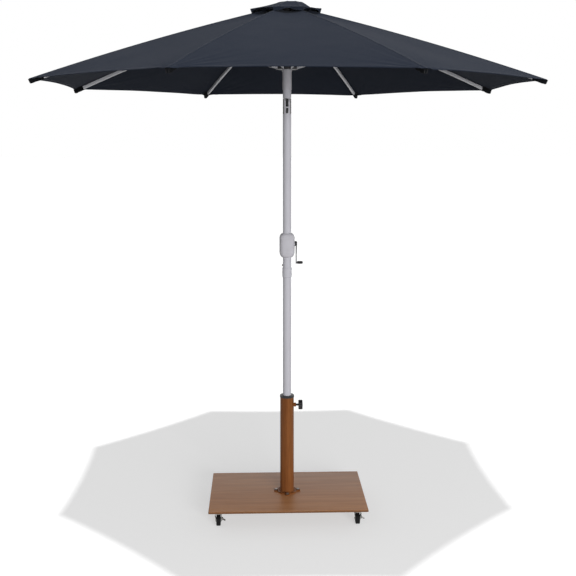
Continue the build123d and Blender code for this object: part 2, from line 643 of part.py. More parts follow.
def tilt_socket():
    """The forked lower half of the joint, plugged into the upper mast."""
    body = rod(MAST_R, TILT_Z0, TILT_TOP) & cheek_outline()
    for side in (-1, 1):
        x0, x1 = sorted((side * CHEEK_X, side * 2 * MAST_R))
        body -= block(x0, x1, -MAST_R, MAST_R, COVER_Z0, TILT_TOP)
    slot = TILT_TONGUE_X + RUN_GAP
    floor = TILT_PIN_Z - TILT_ROUND_R
    body -= block(-slot, slot, -2 * MAST_R, 2 * MAST_R, floor, TILT_TOP)
    side = BUTTON_X + BUTTON_GAP
    back = -MAST_R + BUTTON_DEPTH + BUTTON_TRAVEL + RUN_GAP
    body -= block(-side, side, -2 * MAST_R, back, BUTTON_Z0 - BUTTON_GAP, BUTTON_Z1 + BUTTON_GAP)
    body -= rod_x(TILT_PIN_R, -MAST_R, MAST_R, z=TILT_PIN_Z)
    return body + rod(PLUG_R, TILT_Z0 - PLUG_LEN, TILT_Z0)


def tilt_knuckle():
    """The tongue of the joint, plugged into the upper tube."""
    tongue = block(-TILT_TONGUE_X, TILT_TONGUE_X, -PLUG_R, PLUG_R, TILT_PIN_Z, TILT_TOP)
    tongue = tongue & rod(PLUG_R, TILT_PIN_Z, TILT_TOP)
    tongue += rod_x(TILT_ROUND_R - 2 * RUN_GAP, -TILT_TONGUE_X, TILT_TONGUE_X, z=TILT_PIN_Z)
    tongue = tongue & rod(PLUG_R, TILT_Z0, TILT_TOP)
    tongue += rod(PLUG_R, TILT_TOP, TILT_TOP + PLUG_LEN)
    return tongue - rod_x(TILT_PIN_R + PIN_GAP, -MAST_R, MAST_R, z=TILT_PIN_Z)


def tilt_pin():
    """The hinge pin, held between the covers."""
    return rod_x(TILT_PIN_R, -CHEEK_X, CHEEK_X, z=TILT_PIN_Z)


def tilt_covers():
    """The moulded covers on the cheeks' outer faces."""
    whole = rod(MAST_R, COVER_Z0, TILT_TOP) & cheek_outline()
    return whole - block(-CHEEK_X, CHEEK_X, -MAST_R, MAST_R, COVER_Z0, TILT_TOP)


def tilt_button():
    """The push button that frees the joint."""
    back = -MAST_R + BUTTON_DEPTH
    button = block(-BUTTON_X, BUTTON_X, -MAST_R, back, BUTTON_Z0, BUTTON_Z1)
    return button & rod(MAST_R - BUTTON_SINK, BUTTON_Z0, BUTTON_Z1)


# ---- head ----------------------------------------------------------------------------------
def mast_head():
    """The tube between the tilt joint and the crown."""
    return tube(MAST_R, MAST_BORE, TILT_TOP, CROWN_PIVOT_Z - HUB_DOWN)


def hinge_wire(z, play=0.0):
    """The ring of wire that the ribs or the struts hang on."""
    return Pos(0, 0, z) * Torus(PIVOT_R, WIRE_R + play)


def slotted_hub(bore, z_pivot, down, up):
    """A disc with a slot for each rib or strut, and the groove of its wire."""
    z0, z1 = z_pivot - down, z_pivot + up
    hub = rod(HUB_R, z0, z1)
    if bore:
        hub -= rod(bore, z0 - 1, z1 + 1)
    half = TONGUE_T / 2 + HUB_SLOT_GAP
    slot = block(PIVOT_R - HUB_SLOT_IN, 2 * HUB_R, -half, half, z0 - 1, z1 + 1)
    for angle in rib_angles():
        hub -= Rot(0, 0, angle) * slot
    return hub - hinge_wire(z_pivot)


def crown_hub():
    """The slotted hub that the ribs hang on, plugged into the mast's top."""
    hub = slotted_hub(None, CROWN_PIVOT_Z, HUB_DOWN, HUB_UP)
    z1 = CROWN_PIVOT_Z - HUB_DOWN
    return hub + rod(PLUG_R, z1 - PLUG_LEN, z1)


def crown_cap():
    """The cap over the hub, which holds up the vent canopy."""
    top = vent_heights()[-1] - VENT_T - RUN_GAP
    cap = rod(HUB_R - CROWN_CAP_IN, CROWN_PIVOT_Z + HUB_UP, top)
    return fillet(cap.edges().filter_by(GeomType.CIRCLE).sort_by(Axis.Z)[-1:], CROWN_CAP_EDGE_R)


def runner_hub():
    """The slotted hub that the struts hang on."""
    return slotted_hub(SLEEVE_R, RUNNER_PIVOT_Z, RUNNER_DOWN, RUNNER_UP)


def runner_sleeve():
    """The metal sleeve that slides on the mast under the hub."""
    seat = RUNNER_PIVOT_Z - RUNNER_DOWN
    sleeve = rod(SLEEVE_R, SLEEVE_Z0, RUNNER_PIVOT_Z + RUNNER_UP)
    sleeve += rod(SLEEVE_R + SLEEVE_COLLAR_OUT, seat - SLEEVE_COLLAR_T, seat)
    return sleeve - rod(RUNNER_BORE, SLEEVE_Z0 - 1, RUNNER_PIVOT_Z + RUNNER_UP + 1)


# ---- ribs and struts -----------------------------------------------------------------------
def rib_angles():
    """The compass angle of each rib, with 0 on +X."""
    return [FIRST_RIB + i * 360 / RIBS for i in range(RIBS)]


def rib_bar(r0, r1, width, height, edge_r):
    """A round-edged bar that follows the rib's arc from one radius to another."""
    start, end = (acos((r - ARC_X) / ARC_R) for r in (r0, r1))
    section = Plane(origin=(r0, 0, rib_z(r0)), x_dir=(0, 1, 0), z_dir=(sin(start), 0, -cos(start)))
    face = section * RectangleRounded(width, height, edge_r)
    return revolve(face, Axis((ARC_X, 0, ARC_Z), (0, 1, 0)), degrees(start - end))


def rib(angle):
    """A rib: its tongue, bar, strut lug and rivet, and the moulded cap on its tip."""
    bar = rib_bar(PIVOT_R + RIB_START, RIB_BAR_END, RIB_W, RIB_H, RIB_EDGE_R)
    reach = PIVOT_R + RIB_START + RIB_H
    tongue = side_slab(
        Plane.XZ
        * Polyline(
            (PIVOT_R, CROWN_PIVOT_Z + TONGUE_R),
            (reach, rib_z(reach) + TONGUE_R / 2),
            (reach, rib_z(reach) - TONGUE_R),
            (PIVOT_R, CROWN_PIVOT_Z - TONGUE_R),
            close=True,
        ),
        TONGUE_T / 2,
    )
    half = TONGUE_T / 2
    tongue += rod_y(TONGUE_R, -half, half, PIVOT_R, CROWN_PIVOT_Z)
    tongue -= rod_y(WIRE_R + WIRE_PLAY, -TONGUE_T, TONGUE_T, PIVOT_R, CROWN_PIVOT_Z)
    bar += tongue
    bar += rod_y(LUG_R, -RIB_W / 2, RIB_W / 2, STRUT_POINT_R, STRUT_POINT_Z)
    head = RIB_W / 2 + 2 * FORK_GAP + FORK_PLATE_T
    end = head + RIVET_HEAD_T
    bar += rod_y(RIVET_R, -end, end, STRUT_POINT_R, STRUT_POINT_Z)
    for side in (-1, 1):
        ends = sorted((side * head, side * end))
        bar += rod_y(RIVET_HEAD_R, *ends, STRUT_POINT_R, STRUT_POINT_Z)
    play = 2 * SEAT_GAP
    width, height = RIB_W + play, RIB_H + play
    cap = rib_bar(CAP_START, CAP_END, width + 2 * CAP_SIDE_T, height + 2 * CAP_TOP_T, CAP_EDGE_R)
    cap -= rib_bar(CAP_START - RIB_H, RIB_BAR_END + play, width, height, RIB_EDGE_R)
    return Rot(0, 0, angle) * Compound([bar.solid(), cap.solid()])


def strut(angle):
    """A strut: its tongue on the runner, its bar and the fork that straddles the rib."""
    fork_out = RIB_W / 2 + FORK_GAP + FORK_PLATE_T
    fork_in = RIB_W / 2 + FORK_GAP
    root = STRUT_LEN - FORK_LEN
    half_h = STRUT_H / 2
    bar = block(STRUT_START, root, -STRUT_W / 2, STRUT_W / 2, -half_h, half_h)
    bar = fillet(bar.edges().filter_by(Axis.X), RIB_EDGE_R)
    half = TONGUE_T / 2
    tongue = block(0, STRUT_START + STRUT_H, -half, half, -TONGUE_R, TONGUE_R)
    tongue += rod_y(TONGUE_R, -half, half)
    bar += tongue
    bar -= rod_y(WIRE_R + WIRE_PLAY, -TONGUE_T, TONGUE_T)
    fork = block(root - FORK_ROOT, STRUT_LEN, -fork_out, fork_out, -half_h, half_h)
    fork += rod_y(half_h, -fork_out, fork_out, STRUT_LEN)
    fork -= block(root, STRUT_LEN + STRUT_H, -fork_in, fork_in, -STRUT_H, STRUT_H)
    fork -= rod_y(RIVET_R + PIN_GAP, -2 * fork_out, 2 * fork_out, STRUT_LEN)
    bar += fork
    return Rot(0, 0, angle) * Pos(PIVOT_R, 0, RUNNER_PIVOT_Z) * Rot(0, -OPEN_ANGLE, 0) * bar


# ---- cloth ---------------------------------------------------------------------------------
def octagon(radius, z):
    """An outline through the rib lines at that radius and height."""
    points = [(radius * cos(radians(a)), radius * sin(radians(a)), z) for a in rib_angles()]
    return Wire.make_polygon([Vector(*p) for p in points], close=True)


def stack(rings):
    """The solid that passes straight from one octagon to the next."""
    whole = None
    for low, high in zip(rings, rings[1:]):
        layer = Solid.make_loft([octagon(*low), octagon(*high)], True)
        whole = Part() + layer if whole is None else whole + layer
    return whole


def canopy_z(radius):
    """The height of the cloth's top over a rib."""
    return rib_z(radius) + RIB_H / 2 + CANOPY_BAND_SAG + CANOPY_GAP + CANOPY_T


def canopy():
    """The eight gores as one thin skin, open at the vent."""
    radii = [CANOPY_R - i * CANOPY_BAND for i in range(CANOPY_BANDS + 1)]
    rings = [(r, canopy_z(r)) for r in radii]
    opening = OPENING_R - CANOPY_T
    top = rings[-1][1]
    outer = stack(rings) - stack([(opening, top - 2 * CANOPY_T), (opening, top + 2 * CANOPY_T)])
    return outer - stack([(r, z - CANOPY_T) for r, z in rings])


def vent_heights():
    """The heights of the valance's hem, its top and the flat top of the vent canopy."""
    hem = canopy_z(VENT_R) + VENT_GAP
    return hem, hem + VALANCE, hem + VALANCE + VENT_RISE


def vent_canopy():
    """The small upper canopy with its valance, which covers the vent."""
    rings = list(zip((VENT_R, VENT_R, HUB_R + VENT_RIM), vent_heights()))
    return stack(rings) - stack([(r - VENT_T, z - VENT_T) for r, z in rings])


# ---- build ---------------------------------------------------------------------------------
def every_part():
    """Each node's name with its shape."""
    parts = {
        "base_plate": base_plate(),
        "foot_flange": foot_flange(),
        "flange_bolts": flange_bolts(),
        "base_tube": base_tube(),
        "tube_bushing": tube_bushing(),
        "knob_boss": knob_boss(),
        "caster_stems": Compound([caster_stem(x, y).solid() for x, y in CASTER_SPOTS]),
        "clamp_knob": clamp_knob(),
        "lower_pole": lower_pole(),
        "upper_pole": upper_pole(),
        "snap_button": snap_button(),
        "crank_housing_front": housing_half(-1),
        "crank_housing_back": housing_half(1),
        "housing_screws": housing_screws(),
        "cord_spool": cord_spool(),
        "crank_cap": crank_cap(),
        "crank_arm": crank_arm(),
        "crank_grip": crank_grip(),
        "tilt_socket": tilt_socket(),
        "tilt_knuckle": tilt_knuckle(),
        "tilt_pin": tilt_pin(),
        "tilt_covers": tilt_covers(),
        "tilt_button": tilt_button(),
        "mast_head": mast_head(),
        "crown_hub": crown_hub(),
        "crown_ring": hinge_wire(CROWN_PIVOT_Z),
        "crown_cap": crown_cap(),
        "runner_hub": runner_hub(),
        "runner_ring": hinge_wire(RUNNER_PIVOT_Z),
        "runner_sleeve": runner_sleeve(),
        "canopy": canopy(),
        "vent_canopy": vent_canopy(),
    }
    for number, angle in enumerate(rib_angles(), 1):
        parts[f"rib_{number}"] = rib(angle)
        parts[f"strut_{number}"] = strut(angle)
    for number, (x, y) in enumerate(CASTER_SPOTS, 1):
        parts[f"caster_fork_{number}"] = caster_fork(x, y)
        parts[f"caster_wheel_{number}"] = caster_wheel(x, y)
        parts[f"caster_brake_{number}"] = caster_brake(x, y)
    return parts


if __name__ == "__main__":
    os.makedirs("parts", exist_ok=True)
    for name, shape in every_part().items():
        export_step(shape, f"parts/{name}.step")
    print(f"open angle {OPEN_ANGLE:.4f}, runner pivot z {RUNNER_PIVOT_Z:.3f}, travel {TRAVEL:.3f}")
    print(f"spool radius {SPOOL_R:.3f}, sleeve from z {SLEEVE_Z0:.2f}, tilt top {TILT_TOP:.2f}")
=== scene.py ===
"""Patio umbrella with a wheeled base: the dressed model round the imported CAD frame.

Every length is in metres, in the frame of the CAD model: the origin is on the floor on the mast's
axis, +Z is up, the front faces -Y and the crank is on the +X side. Each sub-assembly is a class
that builds its own pieces and dresses the CAD nodes that belong to it.
"""

from __future__ import annotations

import json
import logging
import math
from dataclasses import dataclass, field
from enum import Enum
from typing import Callable, Iterable, Sequence

import bmesh
import bpy
from mathutils import Matrix, Vector, noise

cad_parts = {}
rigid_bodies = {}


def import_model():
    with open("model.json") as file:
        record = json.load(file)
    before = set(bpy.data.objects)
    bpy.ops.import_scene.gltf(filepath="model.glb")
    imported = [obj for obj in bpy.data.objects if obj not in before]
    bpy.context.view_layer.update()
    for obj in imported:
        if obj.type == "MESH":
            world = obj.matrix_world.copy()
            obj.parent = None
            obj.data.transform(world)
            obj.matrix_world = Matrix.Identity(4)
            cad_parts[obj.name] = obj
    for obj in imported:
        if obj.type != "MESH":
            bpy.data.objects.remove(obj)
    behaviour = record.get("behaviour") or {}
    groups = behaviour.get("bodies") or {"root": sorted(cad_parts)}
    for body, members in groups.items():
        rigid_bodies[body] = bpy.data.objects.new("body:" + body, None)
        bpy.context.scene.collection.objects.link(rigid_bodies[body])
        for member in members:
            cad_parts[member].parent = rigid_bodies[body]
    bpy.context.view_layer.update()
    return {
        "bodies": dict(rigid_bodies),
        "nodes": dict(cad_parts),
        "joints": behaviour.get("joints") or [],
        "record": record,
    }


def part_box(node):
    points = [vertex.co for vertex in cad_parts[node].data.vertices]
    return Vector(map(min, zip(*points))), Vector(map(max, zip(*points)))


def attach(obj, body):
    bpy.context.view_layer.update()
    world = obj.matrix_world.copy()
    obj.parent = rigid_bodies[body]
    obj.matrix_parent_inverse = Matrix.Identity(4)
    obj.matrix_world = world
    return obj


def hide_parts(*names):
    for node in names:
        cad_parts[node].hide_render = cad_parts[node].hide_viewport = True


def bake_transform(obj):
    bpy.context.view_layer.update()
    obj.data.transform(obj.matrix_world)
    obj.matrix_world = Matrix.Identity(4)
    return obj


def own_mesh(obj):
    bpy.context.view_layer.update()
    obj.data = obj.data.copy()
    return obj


LOG = logging.getLogger("umbrella")
MM = 0.001
RIB_COUNT = 8
HALF_GORE = math.pi / RIB_COUNT
STITCH_PITCH = 0.0042
STITCH_LENGTH = 0.0031
THREAD_WIDTH = 0.0009

Colour = tuple[float, float, float]
Point = tuple[float, float, float]
Pair = tuple[float, float]
Outline = Sequence[tuple[float, float]]
Rows = Sequence[Sequence[Sequence[float]]]
Socket = bpy.types.NodeSocket
Material = bpy.types.Material
Piece = bpy.types.Object


# ---- shader tools
class Space(Enum):
    """Where a pattern is laid out."""

    OBJECT = "Object"
    UV = "UV"


class Axis(Enum):
    """The axis that a grain runs along."""

    X = 0
    Y = 1
    Z = 2


@dataclass(frozen=True)
class Patches:
    """Soft patches of noise: where they start and are full, and the share of what they change."""

    scale: float
    detail: float
    start: float
    full: float
    share: float = 1.0
    top: float = 1.0


class Shader:
    """A material's node tree, with short calls for the nodes that the finishes use."""

    def __init__(self, name: str) -> None:
        """Starts an empty material that ends in one Principled shader.

        Args:
            name: The material's name.
        """
        self.material = bpy.data.materials.new(name)
        self.material.use_nodes = True
        self.tree = self.material.node_tree
        self.body = self.tree.nodes["Principled BSDF"]

    def node(self, kind: str, **values: object) -> bpy.types.Node:
        """Adds a node and sets its plain properties.

        Args:
            kind: The node's class name, without the ShaderNode in front.
            values: Property names and values.

        Returns:
            The node.
        """
        made = self.tree.nodes.new("ShaderNode" + kind)
        for key, value in values.items():
            setattr(made, key, value)
        return made

    def plug(self, source: object, target: Socket) -> None:
        """Links a socket, or writes a plain value, into a target socket."""
        if isinstance(source, Socket):
            self.tree.links.new(source, target)
        else:
            target.default_value = source

    def place(self, stretch: Point = (1, 1, 1), space: Space = Space.OBJECT) -> Socket:
        """Gives coordinates in a space, scaled.

        Args:
            stretch: The scale along each axis, in repeats a metre.
            space: Object coordinates or the piece's own UV map.

        Returns:
            The vector socket.
        """
        coordinates = self.node("TexCoord")
        mapping = self.node("Mapping")
        mapping.inputs["Scale"].default_value = stretch
        self.plug(coordinates.outputs[space.value], mapping.inputs["Vector"])
        return mapping.outputs["Vector"]

    def noise(self, where: Socket, scale: float, detail: float = 3.0,
              rough: float = 0.55) -> Socket:
        """Gives fractal noise from 0 to 1 at a place.

        Args:
            where: The vector socket.
            scale: The noise's scale.
            detail: The number of finer layers.
            rough: How strong each finer layer is.

        Returns:
            The value's socket.
        """
        made = self.node("TexNoise")
        made.inputs["Scale"].default_value = scale
        made.inputs["Detail"].default_value = detail
        made.inputs["Roughness"].default_value = rough
        self.plug(where, made.inputs["Vector"])
        return made.outputs["Fac"]

    def wave(self, where: Socket, scale: float, direction: str,
             distortion: float = 0.0) -> Socket:
        """Gives sine bands across a direction.

        Args:
            where: The vector socket.
            scale: The bands' scale.
            direction: "X", "Y" or "DIAGONAL".
            distortion: How much noise bends the bands.

        Returns:
            The value's socket.
        """
        made = self.node("TexWave", bands_direction=direction, wave_profile="SIN")
        made.inputs["Scale"].default_value = scale
        made.inputs["Distortion"].default_value = distortion
        self.plug(where, made.inputs["Vector"])
        return made.outputs["Fac"]

    def cells(self, where: Socket, scale: float) -> Socket:
        """Gives the distance to the nearest of scattered points.

        Args:
            where: The vector socket.
            scale: The points' scale.

        Returns:
            The distance's socket.
        """
        made = self.node("TexVoronoi")
        made.inputs["Scale"].default_value = scale
        self.plug(where, made.inputs["Vector"])
        return made.outputs["Distance"]

    def maths(self, what: str, a: object, b: object = 0.0) -> Socket:
        """Gives one arithmetic step on one or two values.

        Args:
            what: The operation's name.
            a: The first value or its socket.
            b: The second value or its socket.

        Returns:
            The result's socket.
        """
        made = self.node("Math", operation=what)
        self.plug(a, made.inputs[0])
        self.plug(b, made.inputs[1])
        return made.outputs[0]

    def spread(self, value: object, low: float, high: float, to_low: float = 0.0,
               to_high: float = 1.0) -> Socket:
        """Maps a value from one range to another and holds it there.

        Args:
            value: The value or its socket.
            low: The lower end of the first range.
            high: The upper end of the first range.
            to_low: What the lower end becomes.
            to_high: What the upper end becomes.

        Returns:
            The result's socket.
        """
        made = self.node("MapRange")
        for slot, number in zip(("From Min", "From Max", "To Min", "To Max"), (low, high, to_low, to_high)):
            made.inputs[slot].default_value = number
        self.plug(value, made.inputs["Value"])
        return made.outputs["Result"]

    def blend(self, amount: object, first: object, second: object,
              how: str = "MIX") -> Socket:
        """Mixes two colours.

        Args:
            amount: The share of the second colour.
            first: A colour or a socket.
            second: A colour or a socket.
            how: The blend mode.

        Returns:
            The mixed colour's socket.
        """
        made = self.node("Mix", data_type="RGBA", blend_type=how)
        self.plug(amount, made.inputs[0])
        for source, slot in ((first, made.inputs[6]), (second, made.inputs[7])):
            self.plug((*source, 1.0) if isinstance(source, tuple) else source, slot)
        return made.outputs[2]

    def patches(self, where: Socket, kind: Patches) -> Socket:
        """Gives soft patches at a place: 0 between them and their top value inside."""
        return self.spread(self.noise(where, kind.scale, kind.detail), kind.start, kind.full, 0.0, kind.top)

    def relief(self, height: Socket, depth: float,
               under: object = None) -> Socket:
        """Turns a height from 0 to 1 into a bumped normal.

        Args:
            height: The height's socket.
            depth: The real depth of the bump in metres.
            under: A normal to add this relief to.

        Returns:
            The normal's socket.
        """
        made = self.node("Bump")
        made.inputs["Strength"].default_value = 1.0
        made.inputs["Distance"].default_value = depth
        self.plug(height, made.inputs["Height"])
        if under is not None:
            self.plug(under, made.inputs["Normal"])
        return made.outputs["Normal"]

    def finish(self, colour: object, rough: object, normal: object = None,
               **fixed: float) -> Material:
        """Connects the Principled shader.

        Args:
            colour: The base colour or its socket.
            rough: The roughness or its socket.
            normal: The normal's socket.
            fixed: Plain values for other inputs, by name with _ for a space.

        Returns:
            The finished material.
        """
        self.plug((*colour, 1.0) if isinstance(colour, tuple) else colour, self.body.inputs["Base Color"])
        self.plug(rough, self.body.inputs["Roughness"])
        if normal is not None:
            self.plug(normal, self.body.inputs["Normal"])
        for key, value in fixed.items():
            self.body.inputs[key.replace("_", " ")].default_value = value
        return self.material


def tint(colour: Colour, factor: float) -> Colour:
    """Gives a colour made lighter or darker by a factor."""
    return tuple(factor * c for c in colour)


# ---- finishes
@dataclass(frozen=True)
class Finish:
    """A finish that makes its material once and hands it out after that."""

    name: str
    colour: Colour

    def build(self) -> Material:
        """Makes the material; each kind of finish has its own."""
        return Shader(self.name).finish(self.colour, 0.5)

    @property
    def material(self) -> Material:
        """The material, made on first use."""
        return bpy.data.materials.get(self.name) or self.build()


@dataclass(frozen=True)
class Cloth(Finish):
    """Woven polyester: a plain weave, slubs in the yarn, soft fading and a faint sheen."""

    fade: Colour = (0.023, 0.027, 0.038)
    yarn: float = 1.3 * MM
    slub: Point = (40, 900, 1)
    cross_slub: Point = (900, 40, 1)
    age: Patches = Patches(2.6, 4.0, 0.38, 0.66, 0.5)
    dust: Patches = Patches(22.0, 5.0, 0.5, 0.8, 0.3, 0.35)
    yarn_bend: float = 0.4
    yarn_range: Pair = (0.6, 1.4)
    yarn_tint: float = 1.35
    yarn_share: float = 0.22
    rough: Pair = (0.72, 0.86)
    crumple_scale: float = 14.0
    weave_depth: float = 0.10 * MM
    yarn_depth: float = 0.08 * MM
    crumple_depth: float = 0.9 * MM

    def build(self) -> Material:
        """Makes the woven material on the piece's UV map, which is in metres."""
        s = Shader(self.name)
        flat = s.place(space=Space.UV)
        turns = math.pi / (self.yarn * 10)
        warp = s.wave(flat, turns, "X", self.yarn_bend)
        weft = s.wave(flat, turns, "Y", self.yarn_bend)
        weave = s.maths("MULTIPLY", warp, weft)
        slub = s.noise(s.place(self.slub, Space.UV), 1.0, 2.0)
        cross = s.noise(s.place(self.cross_slub, Space.UV), 1.0, 2.0)
        yarns = s.spread(s.maths("ADD", slub, cross), *self.yarn_range)
        age = s.patches(s.place(), self.age)
        dust = s.patches(s.place(), self.dust)
        tone = s.blend(s.maths("MULTIPLY", age, self.age.share), self.colour, self.fade)
        tone = s.blend(s.maths("MULTIPLY", yarns, self.yarn_share), tone, tint(self.colour, self.yarn_tint))
        tone = s.blend(s.maths("MULTIPLY", dust, self.dust.share), tone, self.fade)
        rough = s.spread(yarns, 0.0, 1.0, *self.rough)
        normal = s.relief(weave, self.weave_depth)
        normal = s.relief(yarns, self.yarn_depth, normal)
        crumple = s.noise(s.place(), self.crumple_scale, 3.0)
        normal = s.relief(crumple, self.crumple_depth, normal)
        return s.finish(tone, rough, normal, Sheen_Weight=0.02, Sheen_Roughness=0.5,
                        Specular_IOR_Level=0.02)


@dataclass(frozen=True)
class Webbing(Finish):
    """Coarse ribbed tape, as on pockets and bindings."""

    rib_scale: float = 42.0
    rib_bend: float = 0.6
    fuzz_scale: float = 900.0
    fuzz_tint: float = 2.2
    rough: Pair = (0.72, 0.9)
    rib_depth: float = 0.25 * MM

    def build(self) -> Material:
        """Makes the ribbed tape on Object coordinates."""
        s = Shader(self.name)
        where = s.place()
        ribs = s.wave(where, self.rib_scale, "DIAGONAL", self.rib_bend)
        fuzz = s.noise(where, self.fuzz_scale, 2.0)
        tone = s.blend(s.maths("MULTIPLY", fuzz, 0.5), self.colour, tint(self.colour, self.fuzz_tint))
        rough = s.spread(fuzz, 0.3, 0.7, *self.rough)
        return s.finish(tone, rough, s.relief(ribs, self.rib_depth), Sheen_Weight=0.01,
                        Specular_IOR_Level=0.04)


@dataclass(frozen=True)
class Thread(Finish):
    """Twisted sewing thread."""

    rough: float = 0.6
    shade: float = 0.6
    twist_scale: float = 260.0
    twist_depth: float = 0.1 * MM

    def build(self) -> Material:
        """Makes the thread with a fine twist."""
        s = Shader(self.name)
        twist = s.wave(s.place(), self.twist_scale, "DIAGONAL", 1.0)
        tone = s.blend(twist, self.colour, tint(self.colour, self.shade))
        return s.finish(tone, self.rough, s.relief(twist, self.twist_depth), Sheen_Weight=0.15)


@dataclass(frozen=True)
class Paint(Finish):
    """Silver-grey sprayed paint on aluminium tube: fine flake, orange peel and faint rub marks."""

    metal: float = 0.35
    rough: float = 0.38
    flake: float = 0.08
    tip_from: float = 0.0
    # radius inside which a rib is painted black: painted shade inside the vent, not a moulded part
    shade_root_to: float = 0.0
    # black of the tip caps, and of the painted shade on the rib roots
    cap_and_shade_colour: Colour = (0.012, 0.012, 0.013)
    end_rough: float = 0.16
    grain_scale: float = 1500.0
    drift_stretch: Point = (9, 9, 3)
    drift: Patches = Patches(1.0, 4.0, 0.35, 0.7, 0.18)
    drift_tint: float = 0.82
    drift_rough: Pair = (-0.04, 0.06)
    rub_stretch: Point = (60, 60, 600)
    rub: Patches = Patches(1.0, 3.0, 0.62, 0.78, 0.08)
    peel_scale: float = 420.0
    peel_depth: float = 0.05 * MM

    def build(self) -> Material:
        """Makes the paint; a rib's also has a black moulded cap at its tip, and black painted shade on its
        root near the crown, where the vent lies in shade.
        """
        s = Shader(self.name)
        where = s.place()
        grain = s.noise(where, self.grain_scale, 1.0)
        drift = s.patches(s.place(self.drift_stretch), self.drift)
        rub = s.patches(s.place(self.rub_stretch), self.rub)
        light = tint(self.colour, 1 + 2 * self.flake)
        dark = tint(self.colour, 1 - self.flake)
        tone = s.blend(grain, dark, light)
        tone = s.blend(s.maths("MULTIPLY", drift, self.drift.share), tone,
                       tint(self.colour, self.drift_tint))
        rough = s.maths("ADD", s.spread(drift, 0.0, 1.0, *(self.rough + r for r in self.drift_rough)),
                        s.maths("MULTIPLY", rub, self.rub.share))
        peel = s.relief(s.noise(where, self.peel_scale, 2.0), self.peel_depth)
        metal: object = self.metal
        if self.tip_from:
            split = s.node("SeparateXYZ")
            s.plug(where, split.inputs[0])
            squares = [s.maths("MULTIPLY", split.outputs[i], split.outputs[i]) for i in (0, 1)]
            reach = s.maths("SQRT", s.maths("ADD", *squares))
            # the moulded tip caps, and the rib roots near the crown painted black as painted shade
            ends = s.maths("MAXIMUM", s.maths("GREATER_THAN", reach, self.tip_from),
                           s.maths("LESS_THAN", reach, self.shade_root_to))
            tone = s.blend(ends, tone, self.cap_and_shade_colour)
            rough = s.maths("ADD", rough, s.maths("MULTIPLY", ends, self.end_rough))
            metal = s.maths("MULTIPLY", s.maths("SUBTRACT", 1.0, ends), self.metal)
        s.plug(metal, s.body.inputs["Metallic"])
        return s.finish(tone, rough, peel, Specular_IOR_Level=0.2)


@dataclass(frozen=True)
class WoodPaint(Finish):
    """Brown powder coat with a printed wood grain that runs along one axis."""

    dark: Colour = (0.10, 0.036, 0.013)
    pale: Colour = (0.26, 0.105, 0.043)
    along: Axis = Axis.Z
    rough: float = 0.42
    gloss: float = 0.12
    pore: float = 0.4
    # share of colour kept on upright faces; below 1 it is painted shade
    edge: float = 1.0
    streak: Pair = (7, 260)
    streak_range: Pair = (0.4, 0.7)
    streak_share: float = 0.55
    streak_rough: Pair = (-0.05, 0.08)
    figure: Pair = (2.2, 34)
    figure_range: Pair = (0.3, 0.72)
    pores: Patches = Patches(1.0, 2.0, 0.56, 0.68)
    pore_finer: float = 2.5
    pore_shade: float = 0.5
    pore_dip: float = -0.6
    upright: Pair = (0.3, 0.75)
    grain_depth: float = 0.06 * MM
    peel_scale: float = 300.0
    peel_depth: float = 0.05 * MM

    def stretch(self, scales: Pair) -> Point:
        """Gives a pattern's scale on each axis from its scale along the grain and across it."""
        along, across = scales
        return tuple(along if axis is self.along else across for axis in Axis)

    def build(self) -> Material:
        """Makes streaks, pores and broad figure along the grain, with painted shade that darkens the upright
        faces.
        """
        s = Shader(self.name)
        fine, wide = self.stretch(self.streak), self.stretch(self.figure)
        streak = s.noise(s.place(fine), 1.0, 3.0, 0.6)
        figure = s.noise(s.place(wide), 1.0, 4.0, 0.6)
        pores = s.patches(s.place(tint(fine, self.pore_finer)), self.pores)
        tone = s.blend(s.spread(figure, *self.figure_range), self.dark, self.pale)
        tone = s.blend(s.spread(streak, *self.streak_range, 0.0, self.streak_share), tone, self.colour)
        tone = s.blend(s.maths("MULTIPLY", pores, self.pore), tone, tint(self.dark, self.pore_shade))
        # painted shade: faces that stand upright, found by their normal, are multiplied darker than flat
        # tops
        if self.edge < 1.0:
            split = s.node("SeparateXYZ")
            s.plug(s.node("TexCoord").outputs["Normal"], split.inputs[0])
            upright = s.spread(s.maths("ABSOLUTE", split.outputs[2]), *self.upright, 1.0, 0.0)
            deep = s.blend(1.0, tone, (self.edge,) * 3, "MULTIPLY")
            tone = s.blend(upright, tone, deep)
        rough = s.spread(streak, 0.3, 0.7, *(self.rough + r for r in self.streak_rough))
        dips = s.maths("MULTIPLY", pores, self.pore_dip)
        normal = s.relief(s.maths("ADD", streak, dips), self.grain_depth)
        normal = s.relief(s.noise(s.place(), self.peel_scale, 2.0), self.peel_depth, normal)
        return s.finish(tone, rough, normal, Specular_IOR_Level=self.gloss)


@dataclass(frozen=True)
class Plastic(Finish):
    """Moulded plastic with a spark-eroded texture and slightly polished wear."""

    rough: float = 0.5
    grit_scale: float = 1400.0
    cloud: Patches = Patches(30.0, 4.0, 0.35, 0.7, 0.3)
    cloud_tint: float = 1.25
    cloud_rough: Pair = (-0.06, 0.08)
    gloss: float = 0.45
    texture: float = 0.06 * MM

    def build(self) -> Material:
        """Makes the textured plastic."""
        s = Shader(self.name)
        where = s.place()
        grit = s.cells(where, self.grit_scale)
        cloud = s.patches(where, self.cloud)
        tone = s.blend(s.maths("MULTIPLY", cloud, self.cloud.share), self.colour,
                       tint(self.colour, self.cloud_tint))
        rough = s.spread(cloud, 0.0, 1.0, *(self.rough + r for r in self.cloud_rough))
        normal = s.relief(grit, self.texture)
        return s.finish(tone, rough, normal, Specular_IOR_Level=self.gloss)


